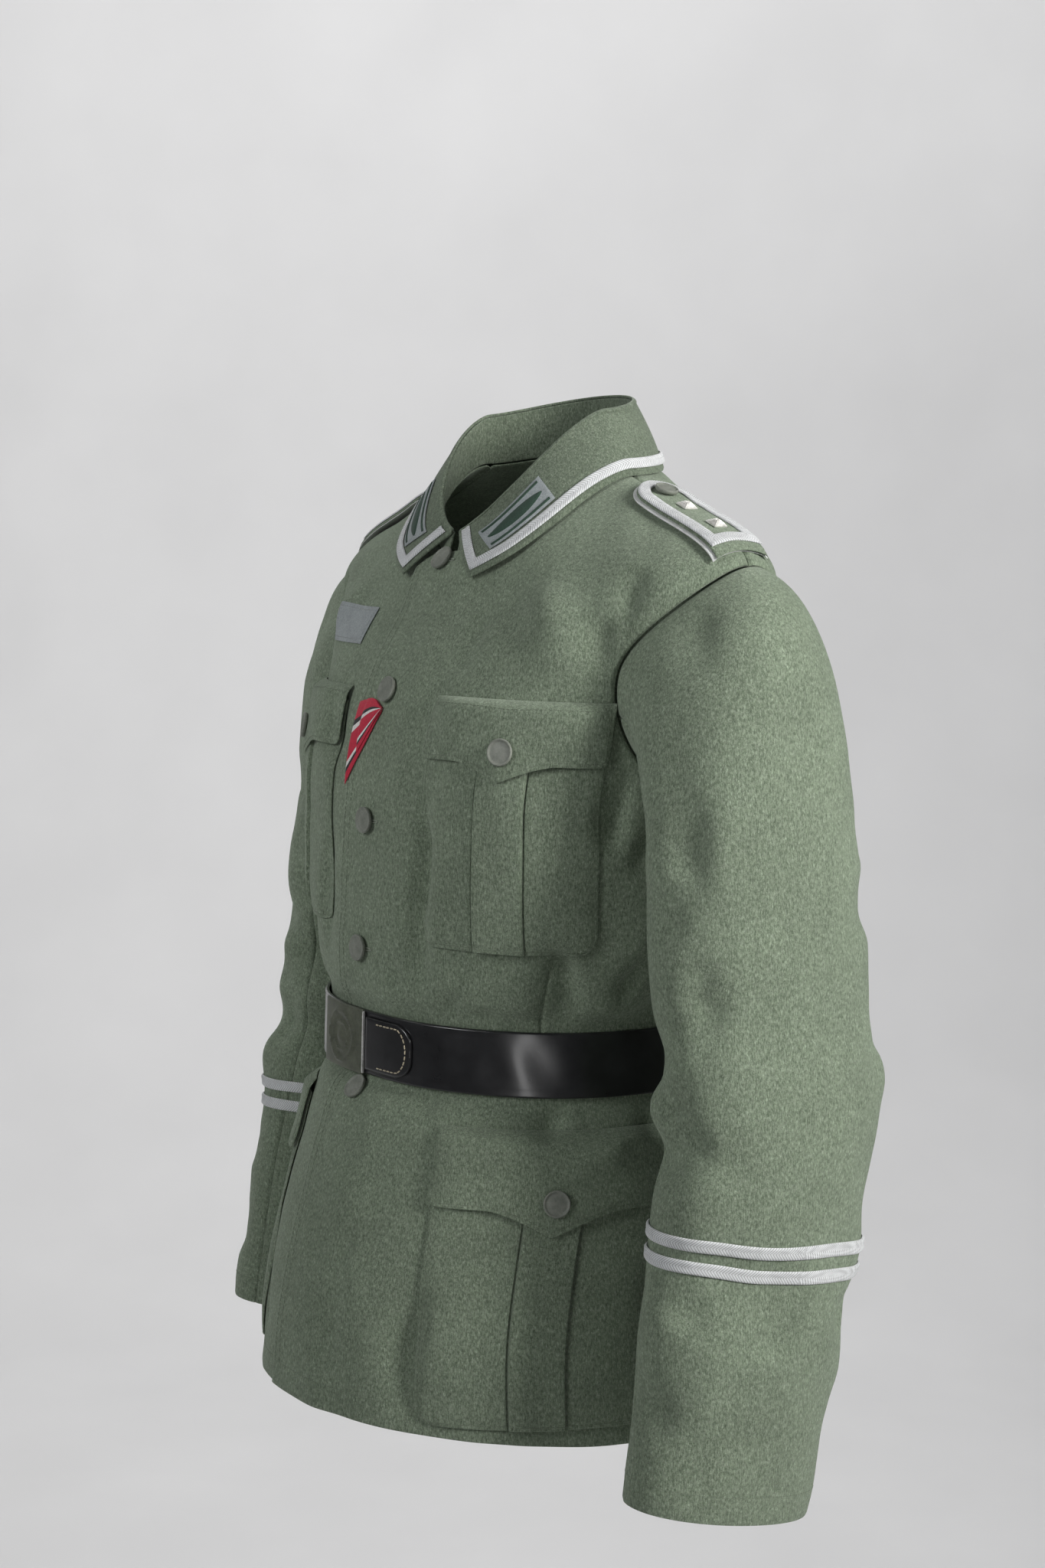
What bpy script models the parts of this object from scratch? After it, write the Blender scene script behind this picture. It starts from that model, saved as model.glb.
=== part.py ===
"""Military field tunic, worn and belted, with each cut piece of cloth as its own solid.

Metres, +Z up. The origin is the middle of the neck opening at the height of the neck points.
The front faces -Y and the wearer's left side is +X.

The torso is one surface of two numbers: turn, in degrees round the body from the centre front,
and level, which counts the rows of the TORSO table from the hem up. Each panel is a stretch of
that surface, and what lies on a panel is made from the same surface, moved out.
"""

import functools
import math

import bmesh
import bpy
import numpy as np
from mathutils import Matrix, Vector

# Cloth and its clearances
WALL = 0.0020
THIN_WALL = 0.0010
BELT_WALL = 0.0030
SEAM_TURN = 0.08
SLEEVE_SEAM_TURN = 0.16
ARMHOLE_SHRINK = 0.995
REST_GAP = 0.0007

# How the left front laps over the right front
LAP = 0.038
LAP_AT_NECK = 0.014
UNDERLAP = 0.020
UNDERLAP_AT_NECK = 0.008
LAP_LIFT = 0.0030
LAP_FADE_START = 0.024
LAP_FADE_END = 0.056

# Torso sections from the hem to the neckline, with heights at the front, side and back
TORSO = (
    ("name", "front_z", "side_z", "back_z", "half_width", "front_depth", "back_depth", "squareness", "prow"),
    ("hem", -0.686, -0.696, -0.696, 0.199, 0.195, 0.150, 2.30, 0.022),
    ("skirt", -0.618, -0.623, -0.623, 0.196, 0.186, 0.146, 2.30, 0.024),
    ("hip", -0.547, -0.550, -0.550, 0.182, 0.171, 0.138, 2.30, 0.022),
    ("under_belt", -0.472, -0.474, -0.474, 0.168, 0.159, 0.125, 2.30, 0.010),
    ("belt_low", -0.450, -0.452, -0.452, 0.161, 0.154, 0.117, 2.30, 0.000),
    ("belt_high", -0.403, -0.405, -0.405, 0.160, 0.153, 0.116, 2.30, 0.000),
    ("over_belt", -0.382, -0.384, -0.384, 0.169, 0.159, 0.123, 2.30, 0.000),
    ("blouse", -0.334, -0.334, -0.334, 0.187, 0.158, 0.131, 2.30, 0.000),
    ("chest", -0.275, -0.275, -0.275, 0.195, 0.155, 0.134, 2.30, 0.000),
    ("armpit", -0.222, -0.232, -0.222, 0.202, 0.150, 0.133, 2.30, 0.000),
    ("mid_hole", -0.160, -0.140, -0.150, 0.205, 0.133, 0.125, 2.25, 0.000),
    ("shoulder", -0.108, -0.072, -0.080, 0.238, 0.104, 0.104, 1.95, 0.000),
    ("yoke", -0.082, -0.032, -0.030, 0.159, 0.094, 0.086, 1.95, 0.000),
    ("neck", -0.068, 0.000, 0.012, 0.078, 0.084, 0.064, 2.00, 0.000),
)
HEM, BELT_LOW, BELT_HIGH, ARMPIT, SHOULDER, NECK = 0.0, 4.0, 5.0, 9.0, 11.0, 13.0
SIDE_TURN = 92.0
HOLE_TURN = 30.0
HOLE_STEP = 22.5
PROW_TURN = 60.0
SIDE_SWEEP = 1.6

# Soft folds of the torso: where each one peaks, how far it reaches, and how far it stands out
TORSO_FOLDS = (
    ("name", "turn", "level", "reach_turn", "reach_level", "lean", "depth"),
    ("left_flute", 106.0, 0.0, 10.0, 2.3, -2.0, 0.012),
    ("left_hollow", 128.0, 0.0, 10.0, 2.0, 0.0, -0.008),
    ("back_left_flute", 152.0, 0.0, 10.0, 2.3, 0.0, 0.010),
    ("back_hollow", 181.0, 0.0, 12.0, 1.9, 0.0, -0.006),
    ("back_right_flute", 209.0, 0.0, 11.0, 2.4, 0.0, 0.011),
    ("right_hollow", 233.0, 0.0, 10.0, 2.1, 0.0, -0.008),
    ("right_flute", 256.0, 0.0, 11.0, 2.2, 2.0, 0.012),
    ("left_blouse", 76.0, 6.6, 7.0, 0.9, 3.0, 0.007),
    ("left_side_blouse", 100.0, 6.4, 7.0, 1.0, -2.0, 0.008),
    ("back_left_blouse", 140.0, 6.5, 10.0, 1.1, -3.0, 0.008),
    ("back_blouse", 176.0, 6.3, 9.0, 0.8, 1.0, 0.006),
    ("back_right_blouse", 214.0, 6.6, 10.0, 1.2, 3.0, 0.008),
    ("right_side_blouse", 262.0, 6.4, 7.0, 1.0, 2.0, 0.008),
    ("right_blouse", 286.0, 6.5, 7.0, 0.8, -3.0, 0.007),
    ("front_gather", 14.0, 6.5, 5.0, 0.7, 2.0, 0.003),
    ("left_blade", 126.0, 8.3, 14.0, 1.3, 4.0, 0.005),
    ("right_blade", 236.0, 8.1, 15.0, 1.2, -4.0, 0.005),
)

# Sleeve sections from the biceps to the cuff; right_back is how far the right arm hangs behind
SLEEVE = (
    ("name", "z", "centre_x", "centre_y", "half_width", "half_depth", "slope", "right_back"),
    ("biceps", -0.271, 0.256, -0.003, 0.052, 0.085, 0.00, 0.022),
    ("upper_arm", -0.346, 0.262, -0.002, 0.054, 0.086, 0.02, 0.018),
    ("elbow", -0.446, 0.270, 0.000, 0.055, 0.083, 0.06, 0.014),
    ("forearm", -0.533, 0.274, -0.014, 0.050, 0.079, 0.14, 0.009),
    ("wrist", -0.624, 0.276, -0.030, 0.048, 0.077, 0.18, 0.005),
    ("cuff", -0.716, 0.275, -0.044, 0.043, 0.073, 0.20, 0.002),
)
CUFF = 6.0
UNDER_SEAM_FRONT = 112.5
UNDER_SEAM_BACK = 247.5
HEAD_OUT = (1.0, -0.22, -0.22)
HEAD_FULLNESS = 1.05
ROUND_SLEEVE = 0.95

# Soft folds of a sleeve, placed by the turn round the arm and the row along it
SLEEVE_FOLDS = (
    ("name", "turn", "along", "reach_turn", "reach_along", "lean", "depth"),
    ("head_break", 75.0, 0.75, 26.0, 0.22, 0.0, -0.006),
    ("back_break", 282.0, 0.80, 30.0, 0.25, 0.0, -0.006),
    ("elbow_crease_high", 112.0, 2.62, 42.0, 0.20, -0.004, -0.006),
    ("elbow_roll", 105.0, 2.98, 46.0, 0.20, 0.003, 0.006),
    ("elbow_crease_low", 100.0, 3.34, 40.0, 0.19, 0.004, -0.006),
    ("elbow_point", 270.0, 3.05, 38.0, 0.45, 0.0, 0.007),
    ("forearm_roll", 68.0, 3.75, 32.0, 0.24, -0.004, 0.004),
    ("forearm_hollow", 45.0, 4.25, 34.0, 0.28, 0.005, -0.005),
    ("back_forearm_roll", 300.0, 4.0, 34.0, 0.26, 0.004, 0.005),
    ("cuff_hollow", 80.0, 5.2, 30.0, 0.35, 0.0, -0.004),
    ("outer_hollow", 350.0, 2.3, 32.0, 0.40, 0.0, -0.004),
)

# Collar, from the front end to the centre back of one half
COLLAR = (
    ("name", "turn", "stand", "edge_turn", "edge_level", "edge_lift"),
    ("front_end", 4.0, 0.015, 14.0, 11.66, 0.0046),
    ("front", 15.0, 0.019, 26.0, 11.95, 0.0042),
    ("front_side", 35.0, 0.025, 44.0, 12.32, 0.0026),
    ("side_front", 62.0, 0.032, 66.0, 12.56, 0.0016),
    ("side", 92.0, 0.036, 92.0, 12.62, 0.0016),
    ("side_back", 130.0, 0.038, 132.0, 12.64, 0.0016),
    ("centre_back", 180.0, 0.038, 180.0, 12.66, 0.0016),
)
COLLAR_TURNS = (4.0, 9.0, 15.0, 22.0, 30.0, 40.0, 52.0, 65.0, 78.0, 92.0, 110.0, 128.0, 146.0, 163.0, 180.0)
STAND_LIFT = 0.0006
STAND_LEAN = 0.004
FALL_BOW = 0.002
BRAID_WIDTH = 0.009
BRAID_INSET = 0.005
BRAID_WALL = 0.0010
COLLAR_GAP = 0.0010
COLLAR_PATCH_TURNS = (15.5, 22.0, 30.0, 40.0, 50.0)
COLLAR_PATCH_LOW = 0.0165
COLLAR_PATCH_HEIGHT = 0.026

# Buttons
BUTTON_RADIUS = 0.0098
BUTTON_HEIGHT = 0.0042
TOP_BUTTON_Z = -0.0745
BUTTON_PITCH = 0.094
FRONT_BUTTON_LIFTS = (0.0007, 0.0003, 0.0007, 0.0007, -0.0003)
LAST_BUTTON_DROP = 0.012
STRAP_BUTTON_RADIUS = 0.0085

# Pockets: centre and width across the front from the centre, heights, and how far the pleat leans
POCKETS = (
    ("name", "centre", "width", "top_z", "bottom_z", "flap_z", "point_z", "button_z", "lean", "pleat", "puff"),
    ("breast", 0.1320, 0.142, -0.168, -0.346, -0.213, -0.226, -0.205, 0.00, 0.037, 0.0030),
    ("lower", 0.1830, 0.176, -0.473, -0.680, -0.529, -0.547, -0.523, 0.10, 0.039, 0.0035),
)
FLAP_OVERHANG = 0.002
POCKET_BELOW_FLAP = 0.011
POCKET_GAP = 0.0010
PLEAT_RISE = 0.0018

# Belt and buckle
BELT_COLUMNS = 64
BELT_WIDTH = 0.047
BELT_OVER_LAP = 0.0036
BELT_FADE_START = 0.044
BELT_FADE_END = 0.124
PLATE_WIDTH = 0.060
PLATE_CENTRE = -0.027
PLATE_MARGIN = 0.0008
PLATE_RISE = 0.0001
TAB_START = 0.007
TAB_END = 0.056
TAB_MARGIN = 0.004

# Shoulder straps
STRAP_OUTER_X = 0.231
STRAP_LENGTH = 0.104
STRAP_HALF_WIDTH = 0.0225
STRAP_PIPING = 0.002
STRAP_BRAID_END = 0.006
UNDERLAY_WALL = 0.0012
STRAP_GAP = 0.0012
STRAP_BRAID_GAP = 0.0010
STRAP_BUTTON_X = 0.146
PIP_PLACES = (("inner", 0.170), ("outer", 0.203))
PIP_SIZE = 0.011
PIP_HEIGHT = 0.004
STUD_GAP = 0.0008
STRAP_FLATTEN = 0.45

# Sleeve rings
RING_WIDTH = 0.0090
RING_GAP = 0.0012
RING_UPPER = 3.92
RING_STEP = 0.185
SLEEVE_ROW_HEIGHT = 0.089

# Breast patch and ribbon
PATCH_CENTRE = -0.108
PATCH_WIDTH = 0.066
PATCH_HIGH_Z = -0.110
PATCH_LOW_Z = -0.138
RIBBON = (
    ("name", "across", "high_z", "low_z"),
    ("buttonhole", -0.001, -0.1815, -0.1835),
    ("middle", -0.013, -0.1760, -0.2050),
    ("outer", -0.025, -0.1770, -0.2240),
    ("front_edge", -0.035, -0.1790, -0.2400),
)

COLOURS = (
    ("name", "red", "green", "blue", "roughness", "metallic"),
    ("wool", 0.170, 0.210, 0.152, 0.95, 0.0),
    ("collar_wool", 0.170, 0.210, 0.152, 0.95, 0.0),
    ("braid", 0.620, 0.640, 0.640, 0.60, 0.0),
    ("trim", 0.360, 0.370, 0.370, 0.90, 0.0),
    ("button", 0.145, 0.155, 0.130, 0.60, 0.0),
    ("leather", 0.012, 0.012, 0.012, 0.30, 0.0),
    ("buckle", 0.090, 0.100, 0.070, 0.55, 0.0),
    ("ribbon", 0.300, 0.020, 0.030, 0.80, 0.0),
    ("pip", 0.600, 0.590, 0.550, 0.35, 0.8),
)


# Tables and the surfaces they describe

COLUMN_CACHE = {}


def column(table, name):
    """All values of one named column of a table whose first row holds the names."""
    key = (id(table), name)
    if key not in COLUMN_CACHE:
        index = table[0].index(name)
        COLUMN_CACHE[key] = np.array([row[index] for row in table[1:]], float)
    return COLUMN_CACHE[key]


def smooth(table, name, row):
    """Catmull-Rom value of a column at a row number that may lie between rows."""
    data = column(table, name)
    row = np.clip(np.asarray(row, float), 0.0, len(data) - 1.0)
    low = np.minimum(row.astype(int), len(data) - 2)
    t = row - low
    start = data[low]
    end = data[low + 1]
    before = np.where(low == 0, 2 * start - end, data[np.maximum(low - 1, 0)])
    after = np.where(low == len(data) - 2, 2 * end - start, data[np.minimum(low + 2, len(data) - 1)])
    bend = 2 * before - 5 * start + 4 * end - after
    twist = 3 * (start - end) + after - before
    return start + 0.5 * t * (end - before + t * (bend + t * twist))


def by_turn(table, name, turn):
    """Value of a collar column at a turn between 0 and 360, alike on both sides."""
    half = np.where(np.asarray(turn, float) > 180.0, 360.0 - turn, turn)
    rows = np.interp(half, column(table, "turn"), np.arange(len(table) - 1))
    return smooth(table, name, rows)


def power(value, exponent):
    return np.sign(value) * np.abs(value) ** exponent


def unit(vectors):
    return vectors / np.linalg.norm(vectors, axis=-1, keepdims=True)


def fold_height(folds, turn, level, level_name):
    """Sum of the soft folds at this turn and level."""
    total = np.zeros(np.broadcast(turn, level).shape)
    columns = (column(folds, name) for name in ("turn", level_name, "reach_turn", "lean", "depth"))
    reach_name = "reach_level" if level_name == "level" else "reach_along"
    for middle, peak, reach, lean, depth, rise in zip(*columns, column(folds, reach_name)):
        across = (turn - middle - lean * (level - peak) + 180.0) % 360.0 - 180.0
        total = total + depth * np.exp(-((across / reach) ** 2) - ((level - peak) / rise) ** 2)
    return total


def torso_base(turn, level):
    """The torso's surface without folds: a rounded-square section at each level."""
    turn, level = np.broadcast_arrays(np.asarray(turn, float), np.asarray(level, float))
    angle = np.radians(turn)
    sine, cosine = np.sin(angle), np.cos(angle)
    exponent = 2.0 / smooth(TORSO, "squareness", level)
    front = cosine > 0
    depth = np.where(front, smooth(TORSO, "front_depth", level), smooth(TORSO, "back_depth", level))
    from_front = (turn + 180.0) % 360.0 - 180.0
    prow = smooth(TORSO, "prow", level) * np.clip(1 - (from_front / PROW_TURN) ** 2, 0, 1) ** 2
    x = smooth(TORSO, "half_width", level) * power(sine, exponent)
    y = -depth * power(cosine, exponent) - prow
    side_z = smooth(TORSO, "side_z", level)
    end_z = np.where(front, smooth(TORSO, "front_z", level), smooth(TORSO, "back_z", level))
    z = side_z + (end_z - side_z) * np.abs(cosine) ** SIDE_SWEEP
    return np.stack([x, y, z], axis=-1)


def slope_normal(surface, first, second, first_step, second_step):
    """Outward normal of a surface of two numbers, from points on each side."""
    along = surface(first + first_step, second) - surface(first - first_step, second)
    up = surface(first, second + second_step) - surface(first, second - second_step)
    return unit(np.cross(along, up))


def torso(turn, level):
    """The torso's cloth with its folds, which die out under the belt."""
    turn, level = np.broadcast_arrays(np.asarray(turn, float), np.clip(level, HEM, NECK))
    belt = 1.0 - np.exp(-(((level - 0.5 * (BELT_LOW + BELT_HIGH)) / 0.9) ** 4))
    height = fold_height(TORSO_FOLDS, turn, level, "level") * belt
    return torso_base(turn, level) + slope_normal(torso_base, turn, level, 0.5, 0.05) * height[..., None]


def torso_normal(turn, level):
    return slope_normal(torso, turn, level, 0.5, 0.05)


def turn_of_across(across, level):
    """Turn of a point this far to the left of the centre front, measured along X."""
    ratio = np.abs(across) / smooth(TORSO, "half_width", level)
    return np.sign(across) * np.degrees(np.arcsin(ratio ** (smooth(TORSO, "squareness", level) / 2)))


def lap_lift(turn, level):
    """How far the left front stands off to lie over the right front."""
    x = torso_base(turn, level)[..., 0]
    fade = np.clip((x - LAP_FADE_START) / (LAP_FADE_END - LAP_FADE_START), 0, 1)
    return LAP_LIFT * (1 - fade * fade * (3 - 2 * fade))


def cloth(side, turn, level, lift):
    """Point on the outer cloth of one side, moved out by lift; side is 1 for left, -1 for right."""
    turn, level = np.broadcast_arrays(np.asarray(turn, float), np.asarray(level, float))
    where = side * turn
    out = np.asarray(lift, float) + (lap_lift(where, level) if side > 0 else 0.0)
    return torso(where, level) + torso_normal(where, level) * np.broadcast_to(out, where.shape)[..., None]


ARC_TURNS = np.arange(0.0, 181.0, 1.5)


def place(across, z):
    """(turn, level) of the point this far round from the centre front at this height."""
    across, z = np.broadcast_arrays(np.asarray(across, float), np.asarray(z, float))
    levels = np.linspace(HEM, NECK, 131)
    heights = smooth(TORSO, "front_z", levels)
    turns = np.zeros(across.shape)
    found = np.zeros(across.shape)
    for key in np.ndindex(across.shape):
        level = float(np.interp(z[key], heights, levels))
        for _ in range(5):
            ring = torso_base(ARC_TURNS, level)
            steps = np.linalg.norm(np.diff(ring[:, :2], axis=0), axis=1)
            turn = float(np.interp(abs(across[key]), np.concatenate([[0], np.cumsum(steps)]), ARC_TURNS))
            here = torso_base(turn, level)[2]
            rise = max(torso_base(turn, level + 0.05)[2] - here, 1e-4)
            level = float(np.clip(level + (z[key] - here) / rise * 0.05, HEM, NECK))
        turns[key] = math.copysign(turn, across[key])
        found[key] = level
    return turns, found


def armhole(hole_turn, shrink=1.0):
    """(turn, level) round the left armhole: 0 is the shoulder, 90 the front, 180 the armpit."""
    angle = np.radians(np.asarray(hole_turn, float))
    level = 0.5 * (ARMPIT + SHOULDER) + shrink * 0.5 * (SHOULDER - ARMPIT) * np.cos(angle)
    return SIDE_TURN - shrink * HOLE_TURN * np.sin(angle), level


def sleeve_ring(turn, row):
    """Point of the lower sleeve: turn 0 is the outside, 90 the front and 180 the inside."""
    angle = np.radians(turn)
    x = smooth(SLEEVE, "centre_x", row) + smooth(SLEEVE, "half_width", row) * power(np.cos(angle), ROUND_SLEEVE)
    forward = -smooth(SLEEVE, "half_depth", row) * power(np.sin(angle), ROUND_SLEEVE)
    z = smooth(SLEEVE, "z", row) - smooth(SLEEVE, "slope", row) * forward
    return np.stack([x, smooth(SLEEVE, "centre_y", row) + forward, z], axis=-1)


def sleeve_base(turn, along):
    """The sleeve without folds: along 0 to 1 is its head, and each later number a row lower."""
    turn, along = np.broadcast_arrays(np.asarray(turn, float), np.asarray(along, float))
    start = torso(*armhole(turn, ARMHOLE_SHRINK))
    end = sleeve_ring(turn, np.zeros_like(turn))
    reach = np.linalg.norm(end - start, axis=-1)[..., None]
    angle = np.radians(turn)
    out = unit(np.stack([np.full_like(angle, HEAD_OUT[0]), HEAD_OUT[1] * np.sin(angle),
                         np.full_like(angle, HEAD_OUT[2])], axis=-1))
    down = unit(sleeve_ring(turn, np.full_like(turn, 0.05)) - end)
    t = np.clip(along, 0, 1)[..., None]
    head = ((2 * t**3 - 3 * t**2 + 1) * start + (t**3 - 2 * t**2 + t) * out * reach * HEAD_FULLNESS
            + (3 * t**2 - 2 * t**3) * end + (t**3 - t**2) * down * reach)
    lower = sleeve_ring(turn, np.clip(along - 1, 0, CUFF - 1))
    return np.where((along < 1)[..., None], head, lower)


def sleeve(turn, along):
    """The left sleeve's cloth with its folds, which die out at the armhole and the cuff."""
    turn, along = np.broadcast_arrays(np.asarray(turn, float), np.clip(along, 0.0, CUFF))
    ends = np.clip(along / 0.5, 0, 1) * np.clip((CUFF - along) / 0.4, 0, 1)
    height = fold_height(SLEEVE_FOLDS, turn, along, "along") * ends
    return sleeve_base(turn, along) + slope_normal(sleeve_base, turn, along, 1.0, 0.03) * height[..., None]


def sleeve_normal(turn, along):
    """Outward normal of the sleeve; at the armhole it is half way to the torso's."""
    own = slope_normal(sleeve, turn, np.maximum(along, 0.03), 1.0, 0.02)
    shared = unit(own + torso_normal(*armhole(turn)))
    return np.where((np.asarray(along) <= 0)[..., None], shared, own)


def arm_side(points, side, along):
    """Mirrors sleeve points for the right arm, which hangs a little further back."""
    if side > 0:
        return points
    back = smooth(SLEEVE, "right_back", np.clip(along - 1, 0, CUFF - 1)) * np.clip(along, 0, 1)
    moved = points * np.array([-1.0, 1.0, 1.0])
    moved[..., 1] += back
    return moved


def neck_out(turn):
    """Level outward direction round the neck."""
    point = torso_base(turn, NECK)
    flat = point * np.array([1.0, 1.0, 0.0])
    return unit(flat)


def stand_point(turn, share):
    """Outer point of the collar's stand, from the neckline at share 0 to the fold at 1."""
    turn, share = np.broadcast_arrays(np.asarray(turn, float), np.asarray(share, float))
    rise = by_turn(COLLAR, "stand", turn) * share
    point = torso_base(turn, NECK) - neck_out(turn) * (STAND_LEAN * share)[..., None]
    point[..., 2] += STAND_LIFT + rise
    return point


def fall_edge(turn):
    """Inner point of the fall's lower edge, above the cloth it lies on."""
    mirrored = np.where(turn > 180.0, -1.0, 1.0)
    edge = by_turn(COLLAR, "edge_turn", turn)
    level = by_turn(COLLAR, "edge_level", turn)
    where = mirrored * edge
    lift = by_turn(COLLAR, "edge_lift", turn)
    return torso_base(where, level) + slope_normal(torso_base, where, level, 0.5, 0.05) * lift[..., None]


def fall_point(turn, share, lift=0.0):
    """Inner face of the fall from under its fold, share 0, to its edge, share 1, moved out by lift."""
    turn, share = np.broadcast_arrays(np.asarray(turn, float), np.asarray(share, float))
    top = stand_point(turn, 1.0) + neck_out(turn) * REST_GAP
    top[..., 2] -= 0.002
    edge = fall_edge(turn)
    bow = neck_out(turn) * (FALL_BOW * np.sin(np.pi * share))[..., None]
    return top + (edge - top) * share[..., None] + bow + fall_normal(turn) * lift


def fall_normal(turn):
    """Outward normal of the fall, taken level with its middle and alike from fold to edge."""
    after = np.asarray(turn, float) + 1.0
    before = np.asarray(turn, float) - 1.0
    round_neck = stand_point(after, 1.0) - stand_point(before, 1.0) + fall_edge(after) - fall_edge(before)
    up = stand_point(turn, 1.0) - fall_edge(np.asarray(turn, float))
    return unit(np.cross(round_neck, up))


def fall_length(turn):
    return np.linalg.norm(fall_edge(np.asarray(turn, float)) - fall_point(turn, 0.0), axis=-1)


@functools.lru_cache(maxsize=None)
def shoulder_place(x, y):
    """(turn, level) of the point on the shoulder's top that lies over x and y."""
    turn, level = 90.0, 12.0
    for _ in range(12):
        here = torso_base(turn, level)
        by_turn_step = (torso_base(turn + 0.2, level) - here) / 0.2
        by_level_step = (torso_base(turn, level + 0.01) - here) / 0.01
        matrix = np.array([[by_turn_step[0], by_level_step[0]], [by_turn_step[1], by_level_step[1]]])
        move = np.linalg.lstsq(matrix, np.array([x - here[0], y - here[1]]), rcond=None)[0]
        turn = turn + float(np.clip(move[0], -10, 10))
        level = float(np.clip(level + np.clip(move[1], -0.5, 0.5), ARMPIT, NECK))
    return turn, level


def strap_point(x, y, lift):
    """Point over the left shoulder: a strap bends less than the shoulder under it."""
    ridge = torso_base(*shoulder_place(x, 0.0))
    along = torso_base(*shoulder_place(x - 0.01, 0.0)) - torso_base(*shoulder_place(x + 0.01, 0.0))
    normal = unit(np.cross(-along, np.array([0.0, 1.0, 0.0])))
    resting = torso_base(*shoulder_place(x, y))
    flat = ridge + np.array([0.0, y, 0.0])
    return resting * (1 - STRAP_FLATTEN) + flat * STRAP_FLATTEN + normal * lift


# Making objects

TUNIC = bpy.data.collections.new("field_tunic")
MATERIALS = {}


def start_scene():
    for item in list(bpy.data.objects):
        bpy.data.objects.remove(item)
    bpy.context.scene.collection.children.link(TUNIC)


def make_materials():
    for name, red, green, blue, roughness, metallic in COLOURS[1:]:
        finish = bpy.data.materials.new(name)
        finish.use_nodes = True
        shader = finish.node_tree.nodes["Principled BSDF"]
        shader.inputs["Base Color"].default_value = (red, green, blue, 1.0)
        shader.inputs["Roughness"].default_value = roughness
        shader.inputs["Metallic"].default_value = metallic
        MATERIALS[name] = finish


def add_object(name, mesh, material):
    item = bpy.data.objects.new(name, mesh)
    item.data.materials.append(MATERIALS[material])
    TUNIC.objects.link(item)
    return item


def shell(name, outer, inner, material, closed=False):
    """A wall between two grids of points; closed joins its last column to its first."""
    rows, columns = outer.shape[:2]
    count = rows * columns
    points = np.concatenate([outer.reshape(-1, 3), inner.reshape(-1, 3)])
    spans = columns if closed else columns - 1
    faces = []
    for row in range(rows - 1):
        for start in range(spans):
            end = (start + 1) % columns
            near, far = row * columns, (row + 1) * columns
            faces.append((near + start, near + end, far + end, far + start))
            faces.append((count + far + start, count + far + end, count + near + end, count + near + start))
    border = [[(0, c) for c in range(columns)] + ([(0, 0)] if closed else [])]
    border.append([(rows - 1, c) for c in range(columns)] + ([(rows - 1, 0)] if closed else []))
    if not closed:
        border.append([(r, 0) for r in range(rows)])
        border.append([(r, columns - 1) for r in range(rows)])
    for edge in border:
        for (row_a, column_a), (row_b, column_b) in zip(edge[:-1], edge[1:]):
            first = row_a * columns + column_a
            second = row_b * columns + column_b
            faces.append((first, second, count + second, count + first))
    mesh = bpy.data.meshes.new(name)
    mesh.from_pydata([tuple(point) for point in points], [], faces)
    tidy = bmesh.new()
    tidy.from_mesh(mesh)
    bmesh.ops.recalc_face_normals(tidy, faces=tidy.faces)
    tidy.to_mesh(mesh)
    tidy.free()
    mesh.shade_smooth()
    mesh.set_sharp_from_angle(angle=math.radians(40))
    return add_object(name, mesh, material)


def matrix_on(point, normal, up=(0.0, 0.0, 1.0)):
    """Placement whose Z is the surface's normal and whose Y leans to up."""
    z_axis = Vector(normal).normalized()
    x_axis = Vector(up).cross(z_axis).normalized()
    y_axis = z_axis.cross(x_axis)
    turned = Matrix((x_axis, y_axis, z_axis)).transposed().to_4x4()
    return Matrix.Translation(Vector(point)) @ turned


def button(name, point, normal, radius, material="button"):
    """A dished button turned about its own axis."""
    profile = ((0.0, 0.72), (0.60, 0.76), (0.82, 1.0), (0.97, 0.62), (0.94, 0.10), (0.0, 0.0))
    mesh = bpy.data.meshes.new(name)
    points = [(radius * out, 0.0, BUTTON_HEIGHT * high) for out, high in profile]
    mesh.from_pydata(points, [(i, i + 1) for i in range(len(points) - 1)], [])
    item = add_object(name, mesh, material)
    turned = item.modifiers.new("turned", "SCREW")
    turned.steps = 14
    turned.render_steps = 14
    turned.use_merge_vertices = True
    turned.merge_threshold = 0.00001
    turned.use_smooth_shade = True
    item.matrix_world = matrix_on(point, normal)
    return item


def pip(name, point, normal, up):
    """A small square pyramid stud."""
    bpy.ops.mesh.primitive_cone_add(vertices=4, radius1=PIP_SIZE / math.sqrt(2), radius2=PIP_SIZE * 0.12,
                                    depth=PIP_HEIGHT)
    item = bpy.context.active_object
    item.name = name
    item.data.name = name
    for owner in list(item.users_collection):
        owner.objects.unlink(item)
    TUNIC.objects.link(item)
    item.data.materials.append(MATERIALS["pip"])
    middle = Vector(point) + Vector(normal).normalized() * (PIP_HEIGHT / 2)
    item.matrix_world = matrix_on(middle, normal, up)


# Torso panels

HOLE_LEVELS = [float(armhole(turn)[1]) for turn in np.arange(180.0 - HOLE_STEP, 0.0, -HOLE_STEP)]
ROW_LEVELS = [0.0, 0.5, 1.0, 1.5, 2.0, 2.5, 3.0, 3.5, 4.0, 5.0, 5.5, 6.0, 6.5, 7.0, 7.5, 8.0, 8.5, 9.0]
ROW_LEVELS += HOLE_LEVELS + [11.0, 11.4, 11.8, 12.2, 12.6, 13.0]
FRONT_COLUMNS = 13
BACK_COLUMNS = 9


def outer_turn(level):
    """Turn of the side seam, the armhole or the shoulder seam at this level, on the front."""
    middle = 0.5 * (ARMPIT + SHOULDER)
    inside = np.clip(1 - (level - middle) ** 2, 0, None)
    return SIDE_TURN - HOLE_TURN * np.sqrt(inside) * ((level > ARMPIT) & (level < SHOULDER))


def lap_turn(lap, lap_at_neck, level):
    share = np.clip(level - (NECK - 1.0), 0, 1)
    return turn_of_across(-(lap + (lap_at_neck - lap) * share), level)


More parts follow.
